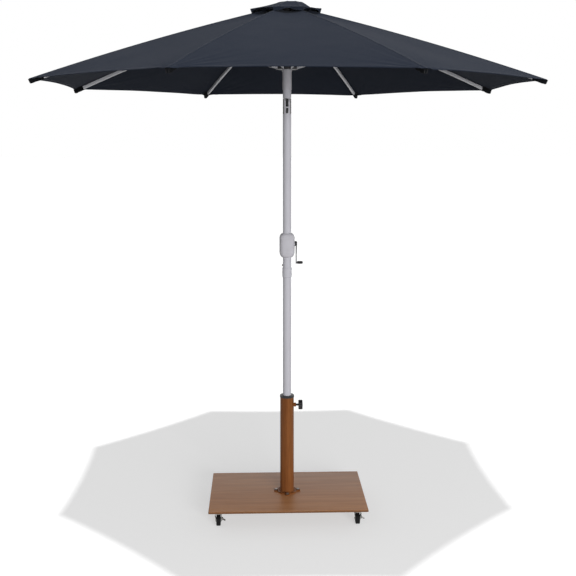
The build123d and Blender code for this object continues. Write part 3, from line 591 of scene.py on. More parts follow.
@dataclass(frozen=True)
class Metal(Finish):
    """Bare or plated steel with drawn lines along one axis."""

    rough: float = 0.28
    lines: Point = (500, 500, 20)
    line_depth: float = 0.02 * MM
    line_rough: Pair = (-0.05, 0.07)
    dull: Patches = Patches(60.0, 5.0, 0.42, 0.72)
    dull_tint: float = 0.55
    stain: float = 0.15

    def build(self) -> Material:
        """Makes the plated metal with drawn lines and dull patches."""
        s = Shader(self.name)
        drawn = s.noise(s.place(self.lines), 1.0, 3.0)
        dull = s.patches(s.place(), self.dull)
        tone = s.blend(s.maths("MULTIPLY", dull, self.stain), self.colour, tint(self.colour, self.dull_tint))
        rough = s.maths("ADD", s.spread(drawn, 0.3, 0.7, *(self.rough + r for r in self.line_rough)),
                        s.maths("MULTIPLY", dull, self.stain))
        s.body.inputs["Metallic"].default_value = 1.0
        return s.finish(tone, rough, s.relief(drawn, self.line_depth))


@dataclass(frozen=True)
class Rubber(Finish):
    """Hard rubber or nylon tyre, dusty where it rolls."""

    dust: Colour = (0.022, 0.021, 0.020)
    gloss: float = 0.16
    rough: Pair = (0.55, 0.82)
    scuff: Patches = Patches(240.0, 5.0, 0.52, 0.75, 0.5)
    grit_scale: float = 700.0
    grit_depth: float = 0.08 * MM

    def build(self) -> Material:
        """Makes the tyre's scuffed black."""
        s = Shader(self.name)
        where = s.place()
        scuff = s.patches(where, self.scuff)
        tone = s.blend(s.maths("MULTIPLY", scuff, self.scuff.share), self.colour, self.dust)
        rough = s.spread(scuff, 0.0, 1.0, *self.rough)
        normal = s.relief(s.noise(where, self.grit_scale, 3.0), self.grit_depth)
        return s.finish(tone, rough, normal, Specular_IOR_Level=self.gloss)


CLOTH = Cloth("slate_cloth", (0.0131, 0.0173, 0.0279))
TAPE = Webbing("black_webbing", (0.0045, 0.005, 0.006))
THREAD = Thread("slate_thread", (0.036, 0.042, 0.056))
MAST_PAINT = Paint("mast_silver", (0.485, 0.48, 0.52), metal=0.1, rough=0.5)
# RIB_PAINT paints the ribs' roots near the crown black, as painted shade inside the vent
RIB_PAINT = Paint("rib_silver", (0.66, 0.66, 0.69), metal=0.1, rough=0.42, tip_from=1.0932, shade_root_to=0.116)
STRUT_PAINT = Paint("strut_silver", (0.60, 0.60, 0.63), metal=0.1, rough=0.42)
WOOD_UP = WoodPaint("wood_paint_upright", (0.19, 0.066, 0.018), dark=(0.115, 0.036, 0.010),
                    pale=(0.25, 0.095, 0.030))
# the plate's wood paint is the tube's paint made lighter, as painted light on its flat top; edge=0.38
# darkens its upright faces as painted shade
WOOD_PLATE_PAINTED_LIGHT = WoodPaint("wood_paint_plate", (0.445, 0.195, 0.080), dark=(0.345, 0.146, 0.057),
                      pale=(0.49, 0.236, 0.104), along=Axis.X, rough=0.38, gloss=0.32, pore=0.2, edge=0.38)
SILVER_PLASTIC = Plastic("moulded_silver", (0.45, 0.442, 0.475), rough=0.46)
BLACK_PLASTIC = Plastic("moulded_black", (0.010, 0.010, 0.011), rough=0.44)
ZINC = Metal("zinc_plate", (0.55, 0.55, 0.55), rough=0.34)
DARK_ZINC = Metal("dark_zinc", (0.24, 0.225, 0.21), rough=0.36)
CHROME = Metal("bright_chrome", (0.34, 0.335, 0.32), rough=0.14, stain=0.1)
ARM_STEEL = Metal("crank_steel", (0.15, 0.15, 0.155), rough=0.3)
TYRE = Rubber("tyre_black", (0.008, 0.008, 0.008))


# ---- mesh tools
@dataclass
class Shape:
    """Points, faces and UVs that are gathered before they become one mesh."""

    points: list[Point] = field(default_factory=list)
    faces: list[tuple[int, ...]] = field(default_factory=list)
    uvs: dict[int, Pair] = field(default_factory=dict)
    sharp: set[frozenset[int]] = field(default_factory=set)

    def add(self, points: Iterable[Sequence[float]], faces: Iterable[Sequence[int]]) -> "Shape":
        """Adds points and the faces between them.

        Args:
            points: The new points.
            faces: Faces as indices into the new points.

        Returns:
            The shape itself.
        """
        first = len(self.points)
        self.points.extend(tuple(float(c) for c in p) for p in points)
        self.faces.extend(tuple(first + i for i in face) for face in faces)
        return self

    def grid(self, rows: Rows, closed: bool = False) -> "Shape":
        """Adds a grid of quads, row by row.

        Args:
            rows: The rows of points, all of one length.
            closed: Whether each row is a closed ring.

        Returns:
            The shape itself.
        """
        wide = len(rows[0])
        span = wide if closed else wide - 1
        faces = []
        for i in range(len(rows) - 1):
            for j in range(span):
                k = (j + 1) % wide
                faces.append((i * wide + j, i * wide + k, (i + 1) * wide + k, (i + 1) * wide + j))
        return self.add([p for row in rows for p in row], faces)

    def loft(self, rings: Rows) -> "Shape":
        """Adds a skin through closed rings and caps both ends.

        Args:
            rings: The rings of points, all of one length.

        Returns:
            The shape itself.
        """
        wide = len(rings[0])
        first = len(self.points)
        self.grid(rings, closed=True)
        self.faces.append(tuple(first + i for i in reversed(range(wide))))
        last = first + (len(rings) - 1) * wide
        self.faces.append(tuple(last + i for i in range(wide)))
        return self

    def sleeve(self, outer: Sequence[Sequence[Vector]], inner: Sequence[Sequence[Vector]]) -> "Shape":
        """Adds two skins of the same size and joins them all round their edge.

        Args:
            outer: The rows of the first skin.
            inner: The rows of the second skin.

        Returns:
            The shape itself.
        """
        first = len(self.points)
        self.grid(outer)
        lower = len(self.points)
        self.grid(inner)
        for a, b in rim_steps(len(outer), len(outer[0])):
            self.faces.append((first + a, first + b, lower + b, lower + a))
        return self

    def turn(self, profile: Outline, segments: int, place: Matrix = Matrix.Identity(4),
             hollow: bool = False) -> "Shape":
        """Adds a turned solid with closed ends, or a turned ring.

        Args:
            profile: Points of (radius, height): up along a solid, or once round a ring's section.
            segments: The number of steps round the axis.
            place: Where the turned piece's own Z axis goes.
            hollow: Whether it is a ring.

        Returns:
            The shape itself.
        """
        rings = turned_rings(profile, segments, place)
        return self.grid([*rings, rings[0]], closed=True) if hollow else self.loft(rings)

    def object(self, name: str, material: Material, crease: float = 35.0,
               tidy: bool = True) -> Piece:
        """Makes the mesh object.

        Args:
            name: The piece's name.
            material: Its material.
            crease: The angle in degrees past which an edge stays sharp.
            tidy: Whether doubles are merged and normals recalculated.

        Returns:
            The object, in the scene.
        """
        mesh = bpy.data.meshes.new(name)
        mesh.from_pydata(self.points, [], self.faces)
        if self.uvs:
            layer = mesh.uv_layers.new(name="UVMap")
            for corner, loop in zip(layer.data, mesh.loops):
                corner.uv = self.uvs.get(loop.vertex_index, (0.0, 0.0))
        if tidy:
            form = bmesh.new()
            form.from_mesh(mesh)
            bmesh.ops.remove_doubles(form, verts=form.verts, dist=1e-6)
            bmesh.ops.recalc_face_normals(form, faces=form.faces)
            form.to_mesh(mesh)
            form.free()
        mesh.polygons.foreach_set("use_smooth", [True] * len(mesh.polygons))
        mesh.set_sharp_from_angle(angle=math.radians(crease))
        if self.sharp:
            for edge in mesh.edges:
                edge.use_edge_sharp = edge.use_edge_sharp or frozenset(edge.vertices) in self.sharp
        mesh.materials.append(material)
        return new_object(name, mesh)


def new_object(name: str, data: bpy.types.ID) -> Piece:
    """Makes an object in the scene.

    Args:
        name: The object's name.
        data: Its mesh, light or camera.

    Returns:
        The object.
    """
    made = bpy.data.objects.new(name, data)
    bpy.context.scene.collection.objects.link(made)
    return made


def plain_mesh(source: Piece, name: str) -> Piece:
    """Turns an object with live modifiers into a plain mesh object and removes it.

    Args:
        source: The object to convert.
        name: The new piece's name.

    Returns:
        The plain mesh object.
    """
    graph = bpy.context.evaluated_depsgraph_get()
    mesh = bpy.data.meshes.new_from_object(source.evaluated_get(graph), depsgraph=graph)
    mesh.transform(source.matrix_world)
    bpy.data.objects.remove(source, do_unlink=True)
    mesh.name = name
    return new_object(name, mesh)


def circle(steps: int) -> list[float]:
    """Gives equal angles round a full turn."""
    return [2 * math.pi * i / steps for i in range(steps)]


def turned_rings(profile: Outline, segments: int,
                 place: Matrix = Matrix.Identity(4)) -> list[list[Vector]]:
    """Gives a ring of points round an axis for each point of a profile.

    Args:
        profile: Points of (radius, height).
        segments: The number of steps round the axis.
        place: Where the rings' own Z axis goes.

    Returns:
        The rings.
    """
    return [[place @ Vector((r * math.cos(a), r * math.sin(a), h)) for a in circle(segments)]
            for r, h in profile]


def rim_steps(high: int, wide: int) -> list[tuple[int, int]]:
    """Gives the steps from point to point round the edge of a grid.

    Args:
        high: The number of rows.
        wide: The number of points in a row.

    Returns:
        Pairs of point numbers, in order round the grid.
    """
    last = (high - 1) * wide
    rim = list(range(wide)) + [wide - 1 + wide * i for i in range(1, high)]
    rim += list(range(last + wide - 2, last - 1, -1)) + [wide * i for i in range(high - 2, 0, -1)]
    return list(zip(rim, rim[1:] + rim[:1]))


def frame_at(place: Sequence[float], up: Sequence[float]) -> Matrix:
    """Gives the matrix that moves the origin to a place and turns +Z along a direction."""
    return Matrix.Translation(Vector(place)) @ Vector(up).to_track_quat("Z", "Y").to_matrix().to_4x4()


def smooth_step(value: float, low: float, high: float) -> float:
    """Rises smoothly from 0 at low to 1 at high."""
    t = min(1.0, max(0.0, (value - low) / (high - low)))
    return t * t * (3 - 2 * t)


# ---- repeated pieces
class Repeat:
    """A Geometry Nodes tree with named inputs, put on an object as a modifier and then applied."""

    title = "repeat"
    sizes: tuple[str, ...] = ()

    def __init__(self) -> None:
        """Builds the tree's frame: its inputs, its ends and the nodes between."""
        self.tree = bpy.data.node_groups.new(self.title, "GeometryNodeTree")
        face = self.tree.interface
        face.new_socket("Geometry", in_out="INPUT", socket_type="NodeSocketGeometry")
        face.new_socket("Geometry", in_out="OUTPUT", socket_type="NodeSocketGeometry")
        for name in self.sizes:
            face.new_socket(name, in_out="INPUT", socket_type="NodeSocketFloat")
        face.new_socket("Finish", in_out="INPUT", socket_type="NodeSocketMaterial")
        self.inputs = self.tree.nodes.new("NodeGroupInput")
        repeated = self.wire(self.inputs.outputs["Geometry"])
        realize = self.add("GeometryNodeRealizeInstances", Geometry=repeated)
        coated = self.add("GeometryNodeSetMaterial", Geometry=realize.outputs[0],
                          Material=self.inputs.outputs["Finish"])
        end = self.tree.nodes.new("NodeGroupOutput")
        self.tree.links.new(coated.outputs[0], end.inputs[0])

    def wire(self, path: Socket) -> Socket:
        """Builds the middle of the tree; each kind of repeat has its own."""
        return path

    def add(self, kind: str, setup: dict[str, object] | None = None, **inputs: object) -> bpy.types.Node:
        """Adds a node, sets its properties and fills its inputs.

        Args:
            kind: The node's class name.
            setup: Property names and values.
            inputs: Input names, with _ for a space, and a socket or a value for each.

        Returns:
            The node.
        """
        made = self.tree.nodes.new(kind)
        for key, value in (setup or {}).items():
            setattr(made, key, value)
        for key, value in inputs.items():
            target = made.inputs[key.replace("_", " ")]
            if isinstance(value, Socket):
                self.tree.links.new(value, target)
            else:
                target.default_value = value
        return made

    def run(self, carrier: Piece, name: str, finish: Material,
            **sizes: float) -> Piece:
        """Puts the tree on an object and gives the result as a plain mesh.

        Args:
            carrier: The object whose mesh the tree reads; it is used up.
            name: The new piece's name.
            finish: The material.
            sizes: The size inputs by name.

        Returns:
            The plain mesh object.
        """
        modifier = carrier.modifiers.new(self.title, "NODES")
        modifier.node_group = self.tree
        for item in self.tree.interface.items_tree:
            if item.in_out == "INPUT" and item.name in sizes:
                modifier[item.identifier] = float(sizes[item.name])
            elif item.in_out == "INPUT" and item.name == "Finish":
                modifier[item.identifier] = finish
        return plain_mesh(carrier, name)


class Stitches(Repeat):
    """Rows of thread stitches along the edges of a mesh."""

    title = "stitches"
    sizes = ("Pitch", "Length", "Thread")

    def wire(self, path: Socket) -> Socket:
        """Sets one stitch at each step of the path, along it.

        Args:
            path: The rows as mesh edges.

        Returns:
            The stitches as instances.
        """
        long, thick = (self.inputs.outputs[name] for name in ("Length", "Thread"))
        curve = self.add("GeometryNodeMeshToCurve", Mesh=path)
        steps = self.add("GeometryNodeCurveToPoints", {"mode": "LENGTH"}, Curve=curve.outputs[0],
                         Length=self.inputs.outputs["Pitch"])
        ball = self.add("GeometryNodeMeshUVSphere", Segments=6, Rings=4, Radius=0.5)
        size = self.add("ShaderNodeCombineXYZ", X=thick, Y=thick, Z=long)
        stitch = self.add("GeometryNodeTransform", Geometry=ball.outputs[0], Scale=size.outputs[0])
        smooth = self.add("GeometryNodeSetShadeSmooth", Geometry=stitch.outputs[0])
        rows = self.add("GeometryNodeInstanceOnPoints", Points=steps.outputs["Points"],
                        Instance=smooth.outputs[0], Rotation=steps.outputs["Rotation"])
        return rows.outputs[0]


class Buttons(Repeat):
    """Small turned heads, such as rivets and screws, one on each point, facing its aim attribute."""

    title = "buttons"
    sizes = ("Radius", "Height", "Sides")
    top_share = 0.72

    def wire(self, path: Socket) -> Socket:
        """Sets one head with a narrower top on each point.

        Args:
            path: The points, with the direction of each head in the attribute "aim".

        Returns:
            The heads as instances.
        """
        whole = self.add("FunctionNodeFloatToInt", {"rounding_mode": "ROUND"},
                         Float=self.inputs.outputs["Sides"])
        drum = self.add("GeometryNodeMeshCylinder", {"fill_type": "NGON"}, Vertices=whole.outputs[0],
                        Radius=self.inputs.outputs["Radius"], Depth=self.inputs.outputs["Height"])
        top = self.add("GeometryNodeScaleElements", Geometry=drum.outputs["Mesh"],
                       Selection=drum.outputs["Top"], Scale=self.top_share)
        aim = self.add("GeometryNodeInputNamedAttribute", {"data_type": "FLOAT_VECTOR"}, Name="aim")
        turn = self.add("FunctionNodeAlignRotationToVector", {"axis": "Z"}, Vector=aim.outputs["Attribute"])
        dots = self.add("GeometryNodeMeshToPoints", Mesh=path)
        heads = self.add("GeometryNodeInstanceOnPoints", Points=dots.outputs[0], Instance=top.outputs[0],
                         Rotation=turn.outputs[0])
        return heads.outputs[0]


class Beads(Repeat):
    """A weld's ripples: overlapping rounded beads along the edges of a mesh."""

    title = "beads"
    sizes = ("Pitch", "Radius", "Uneven")
    seed = 7

    def wire(self, path: Socket) -> Socket:
        """Sets a rounded bead at each step, each a little larger or smaller than the next.

        Args:
            path: The run as mesh edges.

        Returns:
            The beads as instances.
        """
        curve = self.add("GeometryNodeMeshToCurve", Mesh=path)
        steps = self.add("GeometryNodeCurveToPoints", {"mode": "LENGTH"}, Curve=curve.outputs[0],
                         Length=self.inputs.outputs["Pitch"])
        ball = self.add("GeometryNodeMeshIcoSphere", Radius=self.inputs.outputs["Radius"], Subdivisions=2)
        smooth = self.add("GeometryNodeSetShadeSmooth", Geometry=ball.outputs[0])
        low = self.add("ShaderNodeMath", {"operation": "SUBTRACT"})
        low.inputs[0].default_value = 1.0
        self.tree.links.new(self.inputs.outputs["Uneven"], low.inputs[1])
        vary = self.add("FunctionNodeRandomValue", {"data_type": "FLOAT"})
        vary.inputs["Seed"].default_value = self.seed
        self.tree.links.new(low.outputs[0], vary.inputs[2])
        vary.inputs[3].default_value = 1.0
        beads = self.add("GeometryNodeInstanceOnPoints", Points=steps.outputs["Points"],
                         Instance=smooth.outputs[0], Rotation=steps.outputs["Rotation"],
                         Scale=vary.outputs[1])
        return beads.outputs[0]


def rows_object(rows: Rows, closed: bool = False) -> Piece:
    """Makes a mesh of edges only, one chain for each row, for a repeat to follow.

    Args:
        rows: The rows of points.
        closed: Whether each row ends where it starts.

    Returns:
        The mesh object.
    """
    points: list[Point] = []
    edges: list[tuple[int, int]] = []
    for row in rows:
        first = len(points)
        points.extend(tuple(p) for p in row)
        edges.extend((first + i, first + i + 1) for i in range(len(row) - 1))
        if closed:
            edges.append((len(points) - 1, first))
    mesh = bpy.data.meshes.new("rows")
    mesh.from_pydata(points, edges, [])
    return new_object("rows", mesh)


def dots_object(places: Sequence[Sequence[float]], aims: Sequence[Sequence[float]]) -> Piece:
    """Makes a mesh of points only, with a direction for each in the attribute "aim".

    Args:
        places: The points.
        aims: The direction at each point.

    Returns:
        The mesh object.
    """
    mesh = bpy.data.meshes.new("dots")
    mesh.from_pydata([tuple(p) for p in places], [], [])
    aim = mesh.attributes.new("aim", "FLOAT_VECTOR", "POINT")
    aim.data.foreach_set("vector", [c for a in aims for c in a])
    return new_object("dots", mesh)


# ---- sub-assemblies
@dataclass
class Assembly:
    """One sub-assembly of the umbrella: it dresses its CAD nodes and builds its own pieces."""

    frame: dict
    stitches: Stitches
    buttons: Buttons
    beads: Beads

    def build(self) -> None:
        """Builds and dresses everything in the sub-assembly."""
        raise NotImplementedError

    def dress(self, finish: Finish, *names: str) -> None:
        """Gives CAD nodes a finish in all their material slots."""
        for name in names:
            node = self.frame["nodes"][name]
            if not node.material_slots:
                node.data.materials.append(finish.material)
            for slot in node.material_slots:
                slot.material = finish.material
            LOG.info("dressed %s in %s", name, finish.name)

    def mount(self, piece: Piece, body: str, slot: str) -> None:
        """Makes a piece ride on a body.

        Args:
            piece: The finished piece.
            body: The body's name.
            slot: The slot's name; not used.
        """
        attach(piece, body)
        LOG.info("built %s on %s, %d faces", piece.name, body, len(piece.data.polygons))

    def sew(self, rows: list[list[Vector]], name: str) -> Piece:
        """Lays stitches of the shared size along rows of points."""
        return self.stitches.run(rows_object(rows), name, THREAD.material, Pitch=STITCH_PITCH,
                                 Length=STITCH_LENGTH, Thread=THREAD_WIDTH)


# ---- canopy
@dataclass(frozen=True)
class RibArc:
    """The arc of the ribs in the upright plane through each of them."""

    crown_z: float = 2.317
    pivot_r: float = 0.040
    axis_above_pivot: float = 0.003
    drop: float = 0.3485
    bow: float = 0.0131
    reach: float = 1.143
    half_height: float = 0.0075

    def height(self, radius: float) -> float:
        """Gives the height of a rib's upper face at a distance from the mast's axis.

        Args:
            radius: The distance from the axis along the rib.

        Returns:
            The height over the floor.
        """
        run = self.reach - self.pivot_r
        fall = self.axis_above_pivot + self.drop
        chord = math.hypot(run, fall)
        arc_r = (chord ** 2 / 4 + self.bow ** 2) / (2 * self.bow)
        middle_r = (self.pivot_r + self.reach) / 2 - (arc_r - self.bow) * fall / chord
        middle_z = self.crown_z + self.axis_above_pivot - fall / 2 - (arc_r - self.bow) * run / chord
        return middle_z + math.sqrt(arc_r ** 2 - (radius - middle_r) ** 2) + self.half_height


def rib_angle(index: int) -> float:
    """Gives the direction of a rib, counted from 0, in radians."""
    return HALF_GORE * (2 * index + 1)


def rib_out(index: int) -> Vector:
    """Gives the level direction from the mast along a rib."""
    return Vector((math.cos(rib_angle(index)), math.sin(rib_angle(index)), 0.0))


@dataclass(frozen=True)
class Panels:
    """A sheet of cloth in eight panels between the ribs, as a rule from place on the panel to point.

    A place is (panel, across, along): across goes from 0 at one rib to 1 at the next, and along from
    0 at the sheet's inner edge to 1 at its hem.
    """

    arc: RibArc = RibArc()
    slope_step: float = 1e-3

    def point(self, panel: int, across: float, along: float) -> Vector:
        """Gives the point of the cloth's middle surface at a place; each sheet has its own rule."""
        raise NotImplementedError

    def normal(self, panel: int, across: float, along: float) -> Vector:
        """Gives the upward normal at a place, from the cloth's own slope.

        Args:
            panel: The panel's index, from 0.
            across: The place across the panel.
            along: The place along it.

        Returns:
            The normal.
        """
        step = self.slope_step
        a0, a1 = max(0.0, across - step), min(1.0, across + step)
        b0, b1 = max(0.0, along - step), min(1.0, along + step)
        side = self.point(panel, a1, along) - self.point(panel, a0, along)
        down = self.point(panel, across, b1) - self.point(panel, across, b0)
        return down.cross(side).normalized()

    @staticmethod
    def on_octagon(panel: int, across: float, radius: float) -> Pair:
        """Gives the level place on a panel of an octagon whose corners lie at a radius."""
        a, b = rib_angle(panel), rib_angle(panel + 1)
        return (radius * (math.cos(a) * (1 - across) + math.cos(b) * across),
                radius * (math.sin(a) * (1 - across) + math.sin(b) * across))

    def locate(self, rib: int, turn: float) -> tuple[int, float]:
        """Gives the panel and the place across it for a share of the half panel beside a rib.

        Args:
            rib: The rib's index, from 0.
            turn: From -1 at the middle of the panel before the rib to 1 at the middle of the next.

        Returns:
            The panel's index and the place across it.
        """
        if turn >= 0:
            return rib, turn / 2
        return (rib - 1) % RIB_COUNT, 1 + turn / 2

    def on_gore(self, rib: int, turn: float, along: float, lift: float = 0.0) -> Vector:
        """Gives a point of the gore round a rib.

        Args:
            rib: The rib's index, from 0.
            turn: The share of the half panel beside the rib, from -1 to 1.
            along: The place along the gore.
            lift: The distance off the middle surface, upwards.

        Returns:
            The point.
        """
        panel, across = self.locate(rib, turn)
        up = self.normal(panel, across, along)
        if abs(turn) < 1e-6:
            up = (up + self.normal((rib - 1) % RIB_COUNT, 1.0, along)).normalized()
        return self.point(panel, across, along) + up * lift

    def gore(self, rib: int, turns: Callable[[float], list[float]], alongs: Sequence[float],
             thickness: Callable[[float], float]) -> tuple[Shape, float]:
        """Builds the closed thin shell of one gore, or of a strip of it.

        Args:
            rib: The rib's index, from 0.
            turns: The columns' places at a place along.
            alongs: The rows' places.
            thickness: The cloth's thickness at a place along.

        Returns:
            The shell and the area of its middle surface.
        """
        sides = [[[self.on_gore(rib, t, b, sign * thickness(b) / 2) for t in turns(b)] for b in alongs]
                 for sign in (1, -1)]
        shape = Shape()
        first = turns(alongs[0])
        wide = len(first)
        shape.grid(sides[0])
        lower = len(shape.points)
        under = [tuple(lower + i for i in face) for face in shape.faces]
        shape.faces = [tuple(reversed(face)) for face in shape.faces] + under
        shape.add([p for row in sides[1] for p in row], [])
        for a, b in rim_steps(len(alongs), wide):
            shape.faces.append((a, b, lower + b, lower + a))
            shape.sharp.update({frozenset((a, b)), frozenset((lower + a, lower + b))})
        ridge = min(range(wide), key=lambda j: abs(first[j]))
        for i in range(len(alongs) - 1):
            shape.sharp.add(frozenset((i * wide + ridge, (i + 1) * wide + ridge)))
        area = 0.0
        for row, after in zip(sides[0], sides[0][1:]):
            for j in range(wide - 1):
                area += (row[j + 1] - row[j]).cross(after[j] - row[j]).length
        for i, line in enumerate(self.unrolled(sides[0], ridge)):
            for j, place in enumerate(line):
                shape.uvs[i * wide + j] = place
                shape.uvs[lower + i * wide + j] = place
        return shape, area

    @staticmethod
    def unrolled(rows: list[list[Vector]], ridge: int) -> list[list[Pair]]:
        """Gives a flat place in metres for every point of a grid, measured out from one column.

        Args:
            rows: The grid's rows of points.
            ridge: The column that stays straight.

        Returns:
            Rows of (across, down).
        """
        flat, down = [], 0.0
        for i, row in enumerate(rows):
            if i:
                down += (row[ridge] - rows[i - 1][ridge]).length
            out = [0.0] * len(row)
            for j in range(ridge + 1, len(row)):
                out[j] = out[j - 1] + (row[j] - row[j - 1]).length
            for j in range(ridge - 1, -1, -1):
                out[j] = out[j + 1] - (row[j] - row[j + 1]).length
            flat.append([(x, down) for x in out])
        return flat


@dataclass(frozen=True)
class CanopyCloth(Panels):
    """The main canopy's cloth: its sizes, how it sags between the ribs, and its soft creases."""

    opening: float = 0.110
    over_rib: float = 0.00245
    cloth: float = 0.001
    hem_dip: float = 0.018
    hem_width: float = 0.020
    slack: float = 0.010
    flat: float = 0.007
    ripple: float = 0.0016
    ripple_scale: float = 4.2
    panel_seed: float = 3.7
    half_seed: float = 11.0
    pull_rise: float = 3.2
    pull_fans: float = 9.0
    pull_waves: float = 1.5
    pull_reach: float = 0.16
    pull_clear: float = 0.03
    pull_blunt: float = 0.004
    pucker_rise: float = 0.00035
    pucker_rate: float = 620.0
    pucker_drift: float = 9.0
    pucker_reach: float = 0.018
    pucker_clear: float = 0.005

    def radius(self, along: float) -> float:
        """Gives the distance from the mast's axis at a place along a rib."""
        return self.opening + (self.arc.reach - self.opening) * along

    def point(self, panel: int, across: float, along: float) -> Vector:
        """Gives a point of the cloth: octagon rings on the ribs' arc, slack between, soft creases.

        Args:
            panel: The panel's index, from 0.
            across: The place across the panel.
            along: The place along it.

        Returns:
            The point.
        """
        mid = 4 * across * (1 - across)
        outer = self.arc.reach - self.hem_dip * mid
        radius = self.opening + (outer - self.opening) * along
        x, y = self.on_octagon(panel, across, radius)
        z = self.arc.height(radius) + self.over_rib + self.cloth / 2
        z -= self.slack * mid * (1 - smooth_step(radius, self.opening, self.arc.reach / 2))
        z -= self.flat * mid * 4 * along * (1 - along)
        return Vector((x, y, z + self.creases(panel, across, along, Vector((x, y, z)))))

    def creases(self, panel: int, across: float, along: float, place: Vector) -> float:
        """Gives the height of the cloth's soft creases.

        Args:
            panel: The panel's index, from 0.
            across: The place across the panel.
            along: The place along it.
            place: The point of the smooth cloth.

        Returns:
            The sum of broad waves, pulls at the corners and puckers at the seams.
        """
        mid = 4 * across * (1 - across)
        broad = noise.noise(place * self.ripple_scale) * self.ripple * mid ** 0.5
        length = self.arc.reach * (1 - along)
        near = min(across, 1 - across)
        side = 2 * math.sin(HALF_GORE) * self.arc.reach * near
        reach = math.hypot(length, side)
        fan = math.atan2(side, length + self.pull_blunt)
        seed = panel * self.panel_seed + (self.half_seed if across > 0.5 else 0.0)
        pull = noise.noise(Vector((fan * self.pull_fans, reach * self.pull_waves, seed)))
        corner = self.pull_rise * self.ripple * pull * math.exp(-reach / self.pull_reach)
        corner *= smooth_step(side, 0.0, self.pull_clear)
        run = 2 * math.sin(HALF_GORE) * (self.opening + self.arc.reach * along) * near
        drift = 3 * noise.noise(place * self.pucker_drift)
        pucker = math.sin(place.z * self.pucker_rate + drift) * self.pucker_rise
        pucker *= math.exp(-run / self.pucker_reach) * smooth_step(run, 0.0, self.pucker_clear)
        return broad + corner + pucker


@dataclass(frozen=True)
class VentCloth(Panels):
    """The small upper canopy: a flat top, eight slopes and a loose valance sewn down at the ribs."""

    top_r: float = 0.050
    top_z: float = 2.3535
    shoulder_r: float = 0.175
    shoulder_z: float = 2.3118
    hem_r: float = 0.168
    hem_z: float = 2.2978
    cloth: float = 0.001
    lifts: tuple[float, ...] = (0.010, 0.010, 0.009, 0.011, 0.015, 0.009, 0.014, 0.010)
    lift_shapes: tuple[float, ...] = (0.8, 0.8, 0.9, 0.8, 0.55, 6.0, 0.7, 0.8)
    top_shift: float = 0.018
    slopes: tuple[float, ...] = (0.012, 0.005, 0.003, 0.004, 0.003, 0.003, 0.006, 0.013)
    outs: tuple[float, ...] = (-0.010, 0.0, 0.0, 0.002, 0.005, 0.0, 0.0, -0.010)
    corners: tuple[float, ...] = (0.003, 0.0, 0.001, 0.0, 0.002, 0.0, 0.001, 0.007)
    breaks: Pair = (0.26, 0.84)
    crown: float = 0.0012
    sag_lean: float = 1.2
    ripple: float = 0.0025
    panel_seed: float = 5.3
    hem_wave: float = 0.006
    hem_bow: float = 0.004
    hem_turn: float = 1.7
    draw_in: float = 0.005
    lift_above: float = 0.18
    lift_from: float = 0.2

    def point(self, panel: int, across: float, along: float) -> Vector:
        """Gives a point of the cloth: the top, then a slope with some sag, then the valance.

        Args:
            panel: The panel's index, from 0.
            across: The place across the panel.
            along: The place along it.

        Returns:
            The point.
        """
        start, end = self.breaks
        mid = 4 * across * (1 - across)
        after = (panel + 1) % RIB_COUNT
        sag = self.slopes[panel] * (1 - across) + self.slopes[after] * across
        perk = self.corners[panel] * (1 - across) ** 2 + self.corners[after] * across ** 2
        shoulder_z = self.shoulder_z + perk
        if along < start:
            share = along / start
            radius, z = self.top_r * share, self.top_z + self.crown * (1 - share ** 2)
        elif along < end:
            share = (along - start) / (end - start)
            radius = self.top_r + (self.shoulder_r - self.top_r) * share
            z = self.top_z + (shoulder_z - self.top_z) * share
            z -= sag * math.sin(math.pi * share ** self.sag_lean)
            wander = noise.noise(Vector((across * 3, share * 2, panel * self.panel_seed)))
            z += self.ripple * mid * share * wander
        else:
            share = (along - end) / (1 - end)
            wave = math.sin(across * 2 * math.pi * 2.0 + panel * self.hem_turn) * mid
            raised = self.lifts[panel] * mid ** self.lift_shapes[panel]
            sway = self.hem_r - self.shoulder_r + self.hem_wave * wave + self.hem_bow * mid
            radius = self.shoulder_r + sway * share
            z = shoulder_z + (self.hem_z + raised - shoulder_z) * share
        if along > start:
            radius -= self.draw_in * mid * smooth_step(along, start, end)
            z += self.lift_above * self.lifts[panel] * mid * smooth_step(along, start + self.lift_from, end)
            out = self.outs[panel] * (1 - across) + self.outs[after] * across
            radius += out * smooth_step(along, start, end)
        x, y = self.on_octagon(panel, across, radius)
        shift = self.top_shift * smooth_step(along, 0.0, start) * (1 - smooth_step(along, start, end))
        return Vector((x + shift, y, z))


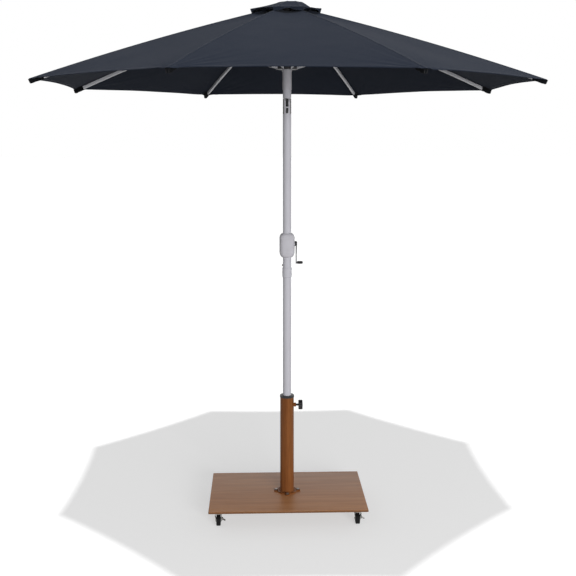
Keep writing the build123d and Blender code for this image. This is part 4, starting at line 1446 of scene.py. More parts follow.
@dataclass
class Canopy(Assembly):
    """The main canopy: eight gores, felled seams, hems, stitching and corner pockets."""

    cloth: CanopyCloth = CanopyCloth()
    rows: int = 150
    columns: int = 30
    crowding: float = 0.6
    folded: float = 0.05
    ease: float = 1.01
    band: float = 0.011
    seam_half: float = 0.006
    seam_rise: float = 0.0011
    seam_foot: float = 0.97
    seam_sink: float = 0.4
    seam_weave: Pair = (0.0018, 0.0072)
    seam_rows: Pair = (-0.66, 0.66)
    seam_row_rise: float = 0.92
    seam_unsewn: tuple[int, int] = (4, 3)
    hem_sewn: float = 0.0165
    hem_fold: float = 0.0005
    hem_layers: float = 2.1
    hem_row_rise: float = 1.05
    pocket_from: float = 1.0945
    pocket_deep: float = 0.0176
    pocket_half: float = 0.0078
    pocket_end: float = 0.0022
    pocket_bulge: float = 0.0016
    pocket_steps: tuple[int, int] = (20, 7)
    pocket_under: float = 1.1
    pocket_flange: Pair = (0.010, 0.012)
    pocket_slack: float = 0.0006
    pocket_waves: float = 11.0
    webbing: float = 0.0010
    slope_step: float = 0.004

    def build(self) -> None:
        """Builds all eight gores with what is sewn to them."""
        for rib in range(RIB_COUNT):
            self.build_gore(rib)

    def band_turns(self, along: float) -> list[float]:
        """Gives the places across the band of cloth that lies on the rib and doesn't fold.

        Args:
            along: The place along the gore.

        Returns:
            The places, from left to right.
        """
        edge = self.band / (math.sin(HALF_GORE) * math.cos(HALF_GORE) * self.cloth.radius(along))
        return [edge * i / 2 for i in range(-2, 3)]

    def wing_turns(self, along: float, hand: int) -> list[float]:
        """Gives the places across a wing, from the band to mid-panel, closer together near the rib.

        Args:
            along: The place along the gore.
            hand: -1 for the left wing or 1 for the right one.

        Returns:
            The places, from left to right.
        """
        edge = self.band_turns(along)[-1]
        even = [i / self.columns for i in range(self.columns + 1)]
        near = self.crowding
        turns = [hand * (edge + (1 - edge) * t * (near + (1 - near) * t)) for t in even]
        return turns if hand > 0 else turns[::-1]

    def rib_length(self, rib: int) -> float:
        """Gives the straight length of a gore from the opening to its tip."""
        return (self.cloth.on_gore(rib, 0.0, 1.0) - self.cloth.on_gore(rib, 0.0, 0.0)).length

    def hem_at(self, rib: int, inset: float) -> float:
        """Gives the place along a gore that lies an inset up from its hem."""
        return 1 - inset / self.rib_length(rib)

    def build_gore(self, rib: int) -> None:
        """Builds one gore's band and wings with what is sewn to them.

        Args:
            rib: The rib's index, from 0.
        """
        body = f"rib_{rib + 1}"
        thick, reach = self.cloth.cloth, self.cloth.arc.reach
        band = self.hem_at(rib, self.cloth.hem_width)
        edge = self.hem_at(rib, self.cloth.hem_width - self.hem_fold)
        rows = {i / self.rows for i in range(self.rows + 1) if not band < i / self.rows < edge}
        rows = sorted(rows | {band, edge, self.hem_at(rib, self.hem_sewn)})
        length = self.ease * self.rib_length(rib)
        half = math.sin(HALF_GORE) * reach - self.band
        for part, hand, columns, width in (("band", 0, self.band_turns, 2 * self.band),
                                           ("left", -1, lambda b: self.wing_turns(b, -1), half),
                                           ("right", 1, lambda b: self.wing_turns(b, 1), half)):
            shape, area = self.cloth.gore(rib, columns, rows,
                                          lambda b: self.hem_layers * thick if b >= edge else thick)
            gore = shape.object(f"canopy_gore_{rib + 1}_{part}", CLOTH.material, tidy=False)
            if hand:
                sewn = [self.hem_stitches(rib, hand, part)]
            else:
                sewn = [self.seam(rib), self.seam_stitches(rib), self.pocket(rib)]
            for piece in (gore, *sewn):
                self.mount(piece, body, "cloth")
                if hand:
                    inner = self.cloth.on_gore(rib, hand * self.band_turns(1.0)[-1], 1.0)
                    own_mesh(piece)
            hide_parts("canopy")

    def seam(self, rib: int) -> Piece:
        """Builds the flat-felled seam over a rib.

        Args:
            rib: The rib's index, from 0.

        Returns:
            The seam.
        """
        cloth = self.cloth
        base = cloth.cloth / 2
        outline = ((-1.0, 0.0), (-0.9, 0.8), (-0.45, 1.0), (0.0, 1.05), (0.45, 1.0), (0.9, 0.8), (1.0, 0.0))
        round_it = 2 * len(outline)
        rings = []
        for i in range(self.rows + 1):
            along = i / self.rows
            half_panel = math.sin(HALF_GORE) * cloth.radius(along)
            ring = [cloth.on_gore(rib, x * self.seam_half / half_panel, along, base + h * self.seam_rise)
                    for x, h in outline]
            ring += [cloth.on_gore(rib, x * self.seam_foot * self.seam_half / half_panel, along,
                                   -base * self.seam_sink) for x, _ in reversed(outline)]
            rings.append(ring)
        shape = Shape().loft(rings)
        for i in range(self.rows + 1):
            for j in range(round_it):
                shape.uvs[i * round_it + j] = (j * self.seam_weave[0], i * self.seam_weave[1])
        return shape.object(f"canopy_seam_{rib + 1}", CLOTH.material, crease=60.0)

    def seam_stitches(self, rib: int) -> Piece:
        """Builds the seam's two rows of stitches.

        Args:
            rib: The rib's index, from 0.

        Returns:
            The stitches.
        """
        cloth = self.cloth
        lift = cloth.cloth / 2 + self.seam_row_rise * self.seam_rise
        start, end = self.seam_unsewn
        rows = []
        for side in self.seam_rows:
            row = []
            for i in range(start, self.rows - end):
                along = i / self.rows
                turn = side * self.seam_half / (math.sin(HALF_GORE) * cloth.radius(along))
                row.append(cloth.on_gore(rib, turn, along, lift))
            rows.append(row)
        return self.sew(rows, f"canopy_seam_stitches_{rib + 1}")

    def hem_stitches(self, rib: int, hand: int, part: str) -> Piece:
        """Builds a wing's rows of stitches along the hem, over and under.

        Args:
            rib: The rib's index, from 0.
            hand: -1 for the left wing or 1 for the right one.
            part: The wing's name.

        Returns:
            The stitches.
        """
        cloth = self.cloth
        hem = self.hem_at(rib, self.hem_sewn)
        lift = self.hem_row_rise * cloth.cloth + 0.1 * THREAD_WIDTH
        turns = self.wing_turns(hem, hand)
        rows = [[cloth.on_gore(rib, t, hem, sign * lift) for t in turns] for sign in (1, -1)]
        return self.sew(rows, f"canopy_hem_stitches_{rib + 1}_{part}")

    def pocket(self, rib: int) -> Piece:
        """Builds the pocket of webbing that holds the end of a rib under the canopy's corner.

        Args:
            rib: The rib's index, from 0.

        Returns:
            The pocket.
        """
        layers = [[self.pocket_row(rib, radius, full, out) for radius, full in self.pocket_stations()]
                  for out in (0.0, self.webbing)]
        shape = Shape().sleeve(*layers)
        return shape.object(f"canopy_pocket_{rib + 1}", TAPE.material, crease=50.0)

    def pocket_stations(self) -> list[Pair]:
        """Gives the pocket's sections as (distance from the mast's axis, share of the full depth)."""
        tip = self.cloth.arc.reach
        steps, bends = self.pocket_steps
        run = [(self.pocket_from + (tip - self.pocket_from) * i / steps, 1.0) for i in range(steps + 1)]
        return run + [(tip + self.pocket_end + self.pocket_bulge * math.sin(a), max(0.0, math.cos(a)) ** 0.5)
                      for a in (math.pi / 2 * i / bends for i in range(bends + 1))]

    def pocket_row(self, rib: int, radius: float, full: float, out: float) -> list[Vector]:
        """Gives one section of one face of the pocket.

        Args:
            rib: The rib's index, from 0.
            radius: The section's distance from the mast's axis.
            full: The share of the pocket's full depth.
            out: How far the face lies outside the inner one.

        Returns:
            The section's points.
        """
        cloth, tip, near = self.cloth, self.cloth.arc.reach, self.slope_step
        outward = rib_out(rib)
        share = min(1.0, (radius - self.pocket_from) / (tip - self.pocket_from))
        fall_off = cloth.arc.height(radius - near) - cloth.arc.height(radius + near)
        down = (Vector((0, 0, -1)) - outward * fall_off / (2 * near)).normalized()
        flange = self.pocket_flange[0] + self.pocket_flange[1] * (1 - share) ** 2
        slack = self.pocket_slack * math.sin(share * self.pocket_waves + rib) * smooth_step(share, 0.0, 0.2)
        along = min((radius - cloth.opening) / (tip - cloth.opening), 1.0)
        row = []
        for side, deep in self.pocket_outline():
            reach, sewn = side * (self.pocket_half + out), 0.0
            if abs(side) > 1:
                reach = math.copysign(self.pocket_half + (abs(side) - 1) * flange, side)
                sewn = 0.3 * out
            turn = reach / (math.sin(HALF_GORE) * radius)
            base = cloth.on_gore(rib, turn, along, -self.pocket_under * cloth.cloth)
            fall = deep * (self.pocket_deep + slack + out) * full + sewn
            beyond = (max(0.0, radius - tip) + out * (1 - full)) * min(1.0, 2 - abs(side))
            row.append(base + down * fall + outward * beyond)
        return row

    @staticmethod
    def pocket_outline() -> list[Pair]:
        """Gives the pocket's section as (share of its half width, share of its depth), flanges past 1."""
        half = [(2.0, 0.0), (1.5, 0.0), (1.12, 0.01), (1.0, 0.06), (1.0, 0.3), (1.0, 0.55), (1.0, 0.76),
                (0.96, 0.88), (0.84, 0.96), (0.66, 0.99), (0.34, 1.0)]
        return half + [(0.0, 1.0)] + [(-side, deep) for side, deep in reversed(half)]


@dataclass
class Vent(Assembly):
    """The upper canopy over the vent, in eight gores."""

    cloth: VentCloth = VentCloth()
    rows: int = 44
    columns: int = 14
    inner: float = 0.02
    hem_from: float = 0.985
    hem_layers: float = 2.0
    fold: float = 0.006
    bend: Pair = (0.062, 0.160)
    gore_length: float = 0.206
    cut_away: float = 0.99
    seam_run: Pair = (0.08, 0.998)
    seam_half: float = 0.0042
    seam_most: float = 0.4
    seam_rise: float = 0.0009
    seam_foot: float = 0.95
    seam_weave: Pair = (0.001, 0.0045)
    row_run: Pair = (0.3, 0.66)
    row_out: float = 0.0028
    row_lift: float = 0.0013
    ring_steps: int = 16
    top_row: float = 0.025
    hem_row: float = 0.968
    ring_lift: float = 0.55

    def build(self) -> None:
        """Builds the gores, their seams and the stitched hem, and the button over their points."""
        for rib in range(RIB_COUNT):
            self.build_gore(rib)
        top = self.cloth.top_z + self.cloth.cloth
        profile = [(0.0001, top - 0.0008), (0.0088, top - 0.0008), (0.0093, top), (0.0086, top + 0.0010),
                   (0.0055, top + 0.0019), (0.0001, top + 0.0023)]
        button = Shape().turn(profile, 40)
        for i, point in enumerate(button.points):
            button.uvs[i] = (point[0], point[1])
        self.mount(button.object("vent_button", CLOTH.material, crease=50.0), "head", "cloth")

    def build_gore(self, rib: int) -> None:
        """Builds one gore with its seam and stitches.

        Args:
            rib: The rib's index, from 0.
        """
        cloth = self.cloth
        rows = [self.inner + (1 - self.inner) * i / self.rows for i in range(self.rows + 1)]
        rows = set(rows) | {b + d for b in cloth.breaks for d in (-self.fold, 0.0, self.fold)}
        rows = sorted(rows | {self.hem_from})
        turns = [i / self.columns for i in range(-self.columns, self.columns + 1)]
        shape, area = cloth.gore(rib, lambda _: turns, rows,
                                 lambda b: cloth.cloth * (self.hem_layers if b >= self.hem_from else 1.0))
        gore = shape.object(f"vent_gore_{rib + 1}", CLOTH.material, tidy=False)
        seam = self.seam(rib)
        sewn = self.sewn(rib)
        for piece in (gore, seam, sewn):
            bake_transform(piece)
        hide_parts("vent_canopy")

    def seam(self, rib: int) -> Piece:
        """Builds the narrow felled seam down a rib line of the vent canopy.

        Args:
            rib: The rib's index, from 0.

        Returns:
            The seam.
        """
        cloth = self.cloth
        outline = ((-1.0, 0.0), (-0.85, 0.8), (0.0, 1.0), (0.85, 0.8), (1.0, 0.0))
        low, high = self.seam_run
        rings = []
        for i in range(self.rows + 1):
            along = low + (high - low) * i / self.rows
            radius = max(0.004, math.hypot(*cloth.point(rib, 0.0, along)[:2]))
            half = min(self.seam_half, self.seam_most * radius) / (math.sin(HALF_GORE) * radius)
            ring = [cloth.on_gore(rib, x * half, along, cloth.cloth * 0.5 + h * self.seam_rise)
                    for x, h in outline]
            ring += [cloth.on_gore(rib, x * half * self.seam_foot, along, 0.0) for x, _ in reversed(outline)]
            rings.append(ring)
        shape = Shape().loft(rings)
        round_it = 2 * len(outline)
        for i in range(len(shape.points)):
            shape.uvs[i] = (self.seam_weave[0] * (i % round_it), self.seam_weave[1] * (i // round_it))
        return shape.object(f"vent_seam_{rib + 1}", CLOTH.material, crease=60.0)

    def sewn(self, rib: int) -> Piece:
        """Builds the rows of stitches beside the seam, round the top and along the hem.

        Args:
            rib: The rib's index, from 0.

        Returns:
            The stitches.
        """
        cloth = self.cloth
        lines = []
        for side in (-1, 1):
            line = []
            for i in range(self.rows):
                along = self.row_run[0] + self.row_run[1] * i / self.rows
                radius = math.hypot(*cloth.point(rib, 0.0, along)[:2])
                turn = side * self.row_out / (math.sin(HALF_GORE) * radius)
                line.append(cloth.on_gore(rib, turn, along, self.row_lift))
            lines.append(line)
        steps = [-1 + i / self.ring_steps for i in range(2 * self.ring_steps + 1)]
        for along in (cloth.breaks[0] - self.top_row, self.hem_row):
            lines.append([cloth.on_gore(rib, t, along, cloth.cloth * self.ring_lift) for t in steps])
        return self.sew(lines, f"vent_stitches_{rib + 1}")


# ---- frame, mast and base
@dataclass
class RibFrame(Assembly):
    """The ribs, the struts and the two hubs."""

    def build(self) -> None:
        """Dresses the ribs, struts, hubs and rings."""
        for i in range(1, RIB_COUNT + 1):
            self.dress(RIB_PAINT, f"rib_{i}")
            self.dress(STRUT_PAINT, f"strut_{i}")
        self.dress(BLACK_PLASTIC, "crown_hub", "crown_cap", "runner_hub")
        self.dress(SILVER_PLASTIC, "runner_sleeve")
        self.dress(ZINC, "crown_ring", "runner_ring")


@dataclass
class Mast(Assembly):
    """The poles, the tilt joint and the snap button."""

    mast_r: float = 0.01905
    pin_z: float = 1.899
    button_z: Pair = (1.8505, 1.875)
    socket: Point = (0.0216, 1.09804, 1.13804)
    lip_in: Pair = (0.008, 0.0006)
    bar_ends: tuple[float, ...] = (-0.0036, -0.0032, 0.0032, 0.0036)
    bar_rise: float = 0.0009
    rivet_down: Pair = (0.044, 0.022)

    def build(self) -> None:
        """Dresses the mast's parts and adds the lips, the button's grip bars and the covers' rivets."""
        self.dress(MAST_PAINT, "lower_pole", "upper_pole", "mast_head")
        self.dress(SILVER_PLASTIC, "tilt_socket")
        self.dress(BLACK_PLASTIC, "tilt_knuckle", "tilt_button", "tilt_covers")
        self.dress(ZINC, "tilt_pin")
        self.dress(DARK_ZINC, "snap_button")
        self.socket_lips()
        self.grip_bars()
        self.cover_rivets()

    def socket_lips(self) -> None:
        """Builds the rolled lips at both ends of the swaged socket."""
        radius, low, high = self.socket
        for name, z in (("lower", low + self.lip_in[0]), ("upper", high - self.lip_in[1])):
            rolled = [(radius - 0.001, z - 0.0012), (radius + 0.0003, z - 0.0009), (radius + 0.00055, z),
                      (radius + 0.0003, z + 0.0009), (radius - 0.001, z + 0.0012)]
            ring = Shape()
            for part in (rolled, (rolled[-1], (radius - 0.0016, z), rolled[0])):
                ring.grid(turned_rings(part, 64), closed=True)
            self.mount(ring.object(f"socket_lip_{name}", MAST_PAINT.material), "pole", "mast_paint")

    def grip_bars(self) -> None:
        """Builds three low grip bars across the tilt button."""
        low, high = self.button_z
        bars = Shape()
        for i in range(3):
            middle = low + (high - low) * (0.28 + 0.22 * i)
            rings = []
            for x in self.bar_ends:
                full = 1.0 if abs(x) < self.bar_ends[-1] else 0.5
                back = -math.sqrt(self.mast_r ** 2 - x ** 2) + self.bar_rise
                front = -math.sqrt(self.mast_r ** 2 - x ** 2) + 0.0002 - 0.0001 * full
                rings.append([(x, back, middle - 0.0008), (x, front, middle - 0.0006),
                              (x, front, middle + 0.0006), (x, back, middle + 0.0008)])
            bars.loft(rings)
        self.mount(bars.object("tilt_button_bars", BLACK_PLASTIC.material), "tilt_release", "black_plastic")

    def cover_rivets(self) -> None:
        """Builds the small rivets that hold the tilt joint's side covers."""
        places, aims = [], []
        for side in (-1, 1):
            for down in self.rivet_down:
                places.append((side * (self.mast_r + 0.0001), 0.0, self.pin_z - down))
                aims.append((side, 0.0, 0.0))
        rivets = self.buttons.run(dots_object(places, aims), "tilt_cover_rivets", DARK_ZINC.material,
                                  Radius=0.0022, Height=0.0008, Sides=16)
        self.mount(rivets, "pole", "steel")


@dataclass
class Crank(Assembly):
    """The crank housing, the shaft's cap, the arm and the grip."""

    ends: Pair = (1.18804, 1.29904)
    halves: Pair = (0.035, 0.030)
    shoulders: Pair = (0.030, 0.023)
    neck: float = 0.0205
    bore: float = 0.0192
    square: float = 0.9
    groove: tuple[Pair, ...] = ((0.0, 0.0008), (0.00035, 0.0004), (0.0007, 0.0))
    skin_steps: tuple[int, int, int] = (16, 14, 12)
    lip: float = 0.003
    screw_in: Point = (0.015, 0.026, 0.022)
    screw_sunk: float = 0.0009
    screw_lean: float = 0.28
    axis_z: float = 1.25104
    face_x: float = 0.035
    cap_end_x: float = 0.0458
    grip_z: float = 1.16304
    grip_x: Pair = (0.0461, 0.0715)
    grip_r: float = 0.0056
    arm_x: Pair = (0.0400, 0.0464)
    arm_eyes: Pair = (0.0078, 0.0060)
    arm_steps: int = 44
    arm_thinner: float = 0.0018
    arm_waist: float = 0.0016
    arm_soft: float = 0.0009
    pin_end: float = 0.0721
    pin_r: float = 0.0026
    sleeve_steps: tuple[int, int] = (40, 48)
    sleeve_out: float = 0.0003
    sleeve_bore: float = 0.0029
    swell: float = 0.0004
    flanges: Point = (0.0007, 0.04, 0.03)
    rounding: Pair = (0.0012, 0.02)
    flutes: int = 12
    flute_deep: float = 0.00035

    def build(self) -> None:
        """Builds the housing, its screws, the boss, the arm and the grip, and dresses the rest."""
        self.shell()
        self.screws()
        self.dress(BLACK_PLASTIC, "cord_spool", "crank_cap", "crank_grip")
        self.arm()
        self.boss()
        self.cap_screw()
        self.grip_sleeve()

    def fullness(self, z: float) -> float:
        """Gives how full the housing is at a height.

        Args:
            z: The height.

        Returns:
            A share from 0 at the necks to 1 between the shoulders.
        """
        low, high = self.ends
        lower, upper = self.shoulders
        if z > high - upper:
            return math.sqrt(max(0.0, 1 - ((z - high + upper) / upper) ** 2))
        if z < low + lower:
            return math.sqrt(max(0.0, 1 - ((low + lower - z) / lower) ** 2))
        return 1.0

    def section(self, z: float) -> Point:
        """Gives the housing's half width, half depth and squareness at a height."""
        full = self.fullness(z)
        return *(self.neck + (half - self.neck) * full for half in self.halves), 2.0 + self.square * full

    def ring(self, z: float) -> list[Point]:
        """Gives one ring of the housing's skin, with the parting groove where its halves meet.

        Args:
            z: The ring's height.

        Returns:
            The ring's points.
        """
        wide, deep, power = self.section(z)
        quarter = [(math.asin((y / deep) ** (power / 2)), cut) for y, cut in self.groove]
        first, steps = quarter[-1][0], self.skin_steps[0]
        quarter += [(first + (math.pi / 2 - first) * i / steps, 0.0) for i in range(1, steps + 1)]
        ring = []
        for turn in range(4):
            run = quarter if turn % 2 == 0 else quarter[::-1]
            for a, cut in run[:-1]:
                x = (wide - cut) * math.cos(a) ** (2 / power) if a < math.pi / 2 - 1e-9 else 0.0
                y = deep * math.sin(a) ** (2 / power)
                ring.append((x if turn in (0, 3) else -x, y if turn < 2 else -y, z))
        return ring

    def drawn_in(self, like: list[Point], z: float) -> list[Point]:
        """Gives a ring at a height with each point of another drawn in to the pole."""
        return [(self.bore * x / math.hypot(x, y), self.bore * y / math.hypot(x, y), z) for x, y, _ in like]

    def shell(self) -> None:
        """Builds the housing's moulded shell: rounded shoulders, a tapered foot and the parting groove."""
        low, high = self.ends
        lower, upper = self.shoulders
        bends, rises = self.skin_steps[1:]
        arcs = [math.pi / 2 * i / bends for i in range(bends + 1)]
        heights = [low + lower * (1 - math.cos(a)) for a in arcs]
        heights += [low + lower + (high - upper - low - lower) * i / rises for i in range(1, rises)]
        heights += [high - upper * (1 - math.sin(a)) for a in arcs]
        rings = [self.ring(z) for z in heights]
        inner = [self.drawn_in(rings[0], z) for z in (low + self.lip, low)]
        outer = [self.drawn_in(rings[-1], z) for z in (high, high - self.lip)]
        shape = Shape().grid([*inner, *rings, *outer, inner[0]], closed=True)
        piece = shape.object("housing_shell", SILVER_PLASTIC.material, crease=32.0)
        self.mount(piece, "pole", "silver_plastic")
        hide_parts("crank_housing_front", "crank_housing_back")

    def screws(self) -> None:
        """Builds the four screws in the housing's back, each sunk into its slope."""
        places, aims = [], []
        low, high = self.ends
        for side in (-1, 1):
            for z in (low + self.screw_in[1], high - self.screw_in[2]):
                wide, deep, power = self.section(z)
                x = wide - self.screw_in[0]
                y = deep * (1 - (x / wide) ** power) ** (1 / power)
                places.append((side * x, y - self.screw_sunk, z))
                aims.append((side * self.screw_lean, 1.0, 0.0))
        screws = self.buttons.run(dots_object(places, aims), "housing_screw_heads", ZINC.material,
                                  Radius=0.0036, Height=0.0018, Sides=24)
        self.mount(screws, "pole", "steel")
        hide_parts("housing_screws")

    def boss(self) -> None:
        """Builds the raised ring round the shaft on the housing's side."""
        place = frame_at((0, 0, self.axis_z), (1, 0, 0))
        face = self.face_x
        profile = [(0.0122, face - 0.004), (0.0168, face - 0.004), (0.0166, face - 0.0002),
                   (0.0158, face + 0.0001), (0.0130, face + 0.0001), (0.0122, face - 0.0004)]
        shape = Shape().turn(profile, 56, place, hollow=True)
        self.mount(shape.object("shaft_boss", SILVER_PLASTIC.material), "pole", "silver_plastic")

    def arm(self) -> None:
        """Builds the forged arm, which thins towards the grip, with a round eye at each end and its pin."""
        upper, lower = self.axis_z, self.grip_z
        eye, foot = self.arm_eyes
        shape, rings = Shape(), []
        for i in range(self.arm_steps + 1):
            z = upper + 0.999 * eye - (upper - lower + 0.999 * (eye + foot)) * i / self.arm_steps
            share = smooth_step(upper - z, 0.004, 0.055)
            if z > upper:
                half = math.sqrt(eye ** 2 - (z - upper) ** 2)
            elif z < lower:
                half = math.sqrt(foot ** 2 - (z - lower) ** 2)
            else:
                waist = smooth_step(upper - z, 0.0, 0.03) * smooth_step(z - lower, 0.0, 0.02)
                half = eye + (foot - eye) * (upper - z) / (upper - lower) - self.arm_waist * waist
            inner = self.arm_x[0]
            outer = self.arm_x[1] - self.arm_thinner * share
            soft = min(self.arm_soft, 0.4 * half)
            section = [(inner, half - soft), (inner + soft, half), (outer - soft, half),
                       (outer, half - soft), (outer, soft - half), (outer - soft, -half),
                       (inner + soft, -half), (inner, soft - half)]
            rings.append([(x, y, z) for x, y in section])
        shape.loft(rings)
        place = frame_at((0, 0, lower), (1, 0, 0))
        start, end, pin = inner + 0.001, self.pin_end, self.pin_r
        shape.turn([(0.0001, start), (pin, start), (pin, end), (0.0040, end), (0.0041, end + 0.0006),
                    (0.0030, end + 0.0014), (0.0001, end + 0.0016)], 32, place)
        arm = shape.object("forged_arm", ARM_STEEL.material, crease=50.0)
        self.mount(arm, "crank", "steel")
        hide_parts("crank_arm")

    def cap_screw(self) -> None:
        """Builds the screw head in the middle of the crank's cap."""
        screw = self.buttons.run(dots_object([(self.cap_end_x + 0.0002, 0, self.axis_z)], [(1, 0, 0)]),
                                 "crank_cap_screw", DARK_ZINC.material, Radius=0.0042, Height=0.0012,
                                 Sides=6)
        self.mount(screw, "crank", "steel")

    def grip_sleeve(self) -> None:
        """Builds the fluted sleeve of the grip, with a rounded flange at each end."""
        start, end = self.grip_x
        place = frame_at((0, 0, self.grip_z), (1, 0, 0))
        steps, around = self.sleeve_steps
        rise, near, spread = self.flanges
        cut, tip = self.rounding
        rings = []
        for i in range(steps + 1):
            share = i / steps
            x = start + (end - start) * share
            swell = self.swell * math.sin(math.pi * share)
            flange = rise * sum(math.exp(-((share - at) / spread) ** 2) for at in (near, 1 - near))
            ends = -cut * (smooth_step(tip - share, 0.0, tip) + smooth_step(share - 1 + tip, 0.0, tip))
            fluted = smooth_step(share, 0.1, 0.2) * (1 - smooth_step(share, 0.8, 0.9))
            ring = []
            for a in circle(around):
                flute = self.flute_deep * math.cos(self.flutes * a) * fluted
                radius = self.grip_r + self.sleeve_out + swell + flange + ends + flute
                ring.append(place @ Vector((radius * math.cos(a), radius * math.sin(a), x)))
            rings.append(ring)
        shape = Shape().grid(rings, closed=True)
        inner = turned_rings([(self.sleeve_bore, end), (self.sleeve_bore, start)], around, place)
        shape.grid([rings[-1], *inner, rings[0]], closed=True)
        sleeve = shape.object("grip_sleeve", BLACK_PLASTIC.material)
        self.mount(sleeve, "grip", "black_plastic")
        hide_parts("crank_grip")


@dataclass
class Base(Assembly):
    """The steel plate, the foot, the tube with its clamp knob, and the casters."""

    plate_corner: float = 0.0045
    flange_top: float = 0.092
    tube_r: float = 0.03175
    weld_place: Pair = (0.0019, 0.0018)
    knob_z: float = 0.496
    knob_end: float = 0.072
    corner_steps: int = 8
    edge: tuple[Pair, ...] = ((0.0011, 0.0), (0.0003, 0.0003), (0.0, 0.0011), (0.0, -0.0016),
                              (0.00022, -0.0008), (0.0008, -0.0002), (0.0016, 0.0))

    def build(self) -> None:
        """Dresses the base and adds the plate's edges, the weld's ripples and the knob's insert."""
        self.plate()
        self.dress(WOOD_PLATE_PAINTED_LIGHT, "caster_stems")
        self.dress(WOOD_UP, "base_tube", "foot_flange", "knob_boss")
        self.dress(BLACK_PLASTIC, "tube_bushing", "clamp_knob")
        self.dress(DARK_ZINC, "flange_bolts")
        for i in range(1, 5):
            self.dress(CHROME, f"caster_fork_{i}", f"caster_brake_{i}")
            self.dress(TYRE, f"caster_wheel_{i}")
        self.weld()
        self.knob_insert()

    def plate(self) -> None:
        """Builds the plate with crisp corners, a rolled upper edge and a broken lower edge."""
        low, high = (Vector(corner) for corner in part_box("base_plate"))
        rings, steps = [], self.corner_steps
        for index, (inset, rise) in enumerate(self.edge):
            z = (low if index < 3 else high).z + rise
            ring = []
            for quarter, (sx, sy) in enumerate(((1, 1), (-1, 1), (-1, -1), (1, -1))):
                for i in range(steps + 1):
                    a = math.pi / 2 * (quarter + i / steps)
                    reach = self.plate_corner - inset
                    ring.append((sx * (high.x - self.plate_corner) + reach * math.cos(a),
                                 sy * (high.y - self.plate_corner) + reach * math.sin(a), z))
            rings.append(ring)
        piece = Shape().loft(rings).object("plate_top", WOOD_PLATE_PAINTED_LIGHT.material, crease=40.0)
        self.mount(piece, "base", "plate_paint")
        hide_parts("base_plate")

    def weld(self) -> None:
        """Builds the ripples of the weld round the tube's foot, under the paint."""
        out, up = self.weld_place
        radius, z = self.tube_r + out, self.flange_top + up
        path = [(radius * math.cos(a), radius * math.sin(a), z) for a in circle(160)]
        bead = self.beads.run(rows_object([path], closed=True), "foot_weld", WOOD_UP.material,
                              Pitch=0.0019, Radius=0.0021, Uneven=0.18)
        self.mount(bead, "base", "wood_paint")

    def knob_insert(self) -> None:
        """Builds the raised rim and the steel end of the stud on the clamp knob's face."""
        place = frame_at((0, 0, self.knob_z), (1, 0, 0))
        end = self.knob_end
        rim = [(0.0090, end - 0.0010), (0.0090, end + 0.0004), (0.0098, end + 0.0008),
               (0.0112, end + 0.0008), (0.0120, end + 0.0003), (0.0122, end - 0.0010)]
        ring = Shape().turn(rim, 48, place, hollow=True).object("knob_rim", BLACK_PLASTIC.material)
        self.mount(ring, "knob", "black_plastic")
        stud = Shape().turn([(0.0001, end - 0.002), (0.0042, end - 0.002), (0.0042, end + 0.0004),
                             (0.0036, end + 0.0009), (0.0001, end + 0.0010)], 36, place)
        self.mount(stud.object("knob_stud", ZINC.material), "knob", "steel")


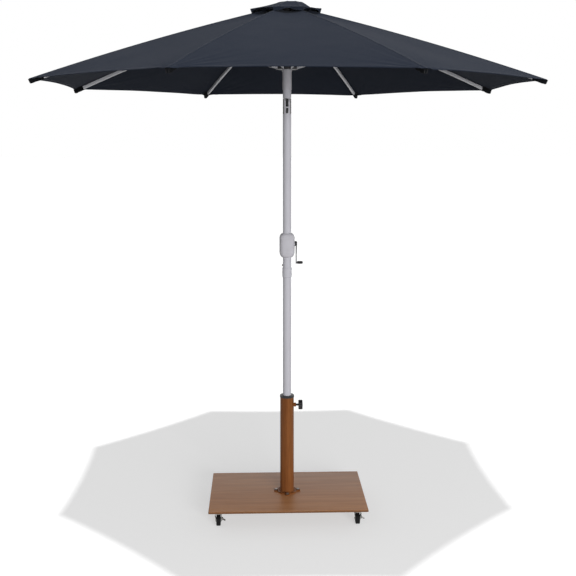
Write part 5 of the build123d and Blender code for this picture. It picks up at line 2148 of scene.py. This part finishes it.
# ---- studio
@dataclass(frozen=True)
class Studio:
    """The camera, the sky, the floor and the lights."""

    distance: float = 4.016
    height: float = 1.758
    yaw: float = 0.033
    pitch_down: float = math.radians(3.0)
    lens: float = 54.64
    film: float = 36.0
    far: float = 200.0
    shift: Pair = (0.0017, -0.1885)
    floor_half: float = 60.0
    floor_tones: Pair = (0.16, 0.56)
    floor_glow: float = 0.50
    sun_strength: float = 2.3
    sun_size: float = math.radians(1.6)
    sun_tilt: float = math.radians(11.5)
    sky_strength: float = 0.32
    fill_size: Pair = (4.0, 3.0)
    fill_power: float = 760.0
    fill_place: Point = (2.9, -9.0, 2.0)
    fill_turn: Point = (math.radians(85.2), 0.0, math.radians(17.9))

    def build(self) -> None:
        """Builds the whole studio."""
        self.build_camera()
        self.build_world()
        self.build_floor()
        self.build_lights()

    def build_camera(self) -> None:
        """Places the camera low in front, looking a little down, with the lens shifted to frame."""
        data = bpy.data.cameras.new("camera")
        data.lens = self.lens
        data.sensor_width = self.film
        data.shift_x, data.shift_y = self.shift
        data.clip_end = self.far
        camera = new_object("camera", data)
        camera.location = (-self.distance * math.sin(self.yaw), -self.distance * math.cos(self.yaw),
                           self.height)
        camera.rotation_euler = (math.pi / 2 - self.pitch_down, 0.0, -self.yaw)
        bpy.context.scene.camera = camera
        bpy.context.scene.view_settings.view_transform = "Standard"

    def build_world(self) -> None:
        """Makes the world: white to the camera and in reflections, a soft sky for the light."""
        world = bpy.data.worlds.new("soft_sky")
        bpy.context.scene.world = world
        world.use_nodes = True
        tree = world.node_tree
        sky = tree.nodes["Background"]
        sky.inputs["Color"].default_value = (1.0, 1.0, 1.0, 1.0)
        rays = tree.nodes.new("ShaderNodeLightPath")
        seen = rays.outputs["Is Camera Ray"]
        for kind in ("Glossy", "Transmission"):
            either = tree.nodes.new("ShaderNodeMath")
            either.operation = "MAXIMUM"
            tree.links.new(seen, either.inputs[0])
            tree.links.new(rays.outputs[f"Is {kind} Ray"], either.inputs[1])
            seen = either.outputs[0]
        level = tree.nodes.new("ShaderNodeMapRange")
        level.inputs["To Min"].default_value = self.sky_strength
        level.inputs["To Max"].default_value = 1.0
        tree.links.new(seen, level.inputs["Value"])
        tree.links.new(level.outputs["Result"], sky.inputs["Strength"])

    def build_floor(self) -> None:
        """Makes the pale floor: it keeps the object's shadow and stays white elsewhere."""
        mesh = bpy.data.meshes.new("floor")
        h = self.floor_half
        mesh.from_pydata([(-h, -h, 0), (h, -h, 0), (h, h, 0), (-h, h, 0)], [], [(0, 1, 2, 3)])
        floor = new_object("floor", mesh)
        s = Shader("floor_white")
        rays = s.node("LightPath")
        seen = s.maths("MAXIMUM", rays.outputs["Is Camera Ray"], rays.outputs["Is Glossy Ray"])
        lit = s.node("BsdfDiffuse")
        unseen, shown = ((tone, tone, tone) for tone in self.floor_tones)
        s.plug(s.blend(seen, unseen, shown), lit.inputs["Color"])
        own = s.node("Emission")
        s.plug((1.0, 1.0, 1.0, 1.0), own.inputs["Color"])
        s.plug(s.maths("MULTIPLY", seen, self.floor_glow), own.inputs["Strength"])
        both = s.node("AddShader")
        s.plug(lit.outputs[0], both.inputs[0])
        s.plug(own.outputs[0], both.inputs[1])
        s.plug(both.outputs[0], s.tree.nodes["Material Output"].inputs["Surface"])
        mesh.materials.append(s.material)

    def build_lights(self) -> None:
        """Adds the high sun that throws the shadow and a broad soft fill from the front."""
        sun = bpy.data.lights.new("high_sun", "SUN")
        sun.energy = self.sun_strength
        sun.angle = self.sun_size
        lamp = new_object("high_sun", sun)
        lamp.rotation_euler = (self.sun_tilt, 0.0, 0.0)
        fill = bpy.data.lights.new("front_fill", "AREA")
        fill.shape = "RECTANGLE"
        fill.size, fill.size_y = self.fill_size
        fill.energy = self.fill_power
        soft = new_object("front_fill", fill)
        soft.location = self.fill_place
        soft.rotation_euler = self.fill_turn
        soft.visible_glossy = False


def main() -> None:
    """Loads the frame and builds the umbrella and its studio."""
    logging.basicConfig(level=logging.INFO, format="%(name)s: %(message)s")
    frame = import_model()
    Studio().build()
    trees = (Stitches(), Buttons(), Beads())
    for kind in (Canopy, Vent, RibFrame, Mast, Crank, Base):
        LOG.info("building %s", kind.__name__)
        kind(frame, *trees).build()


if __name__ == "__main__":
    main()
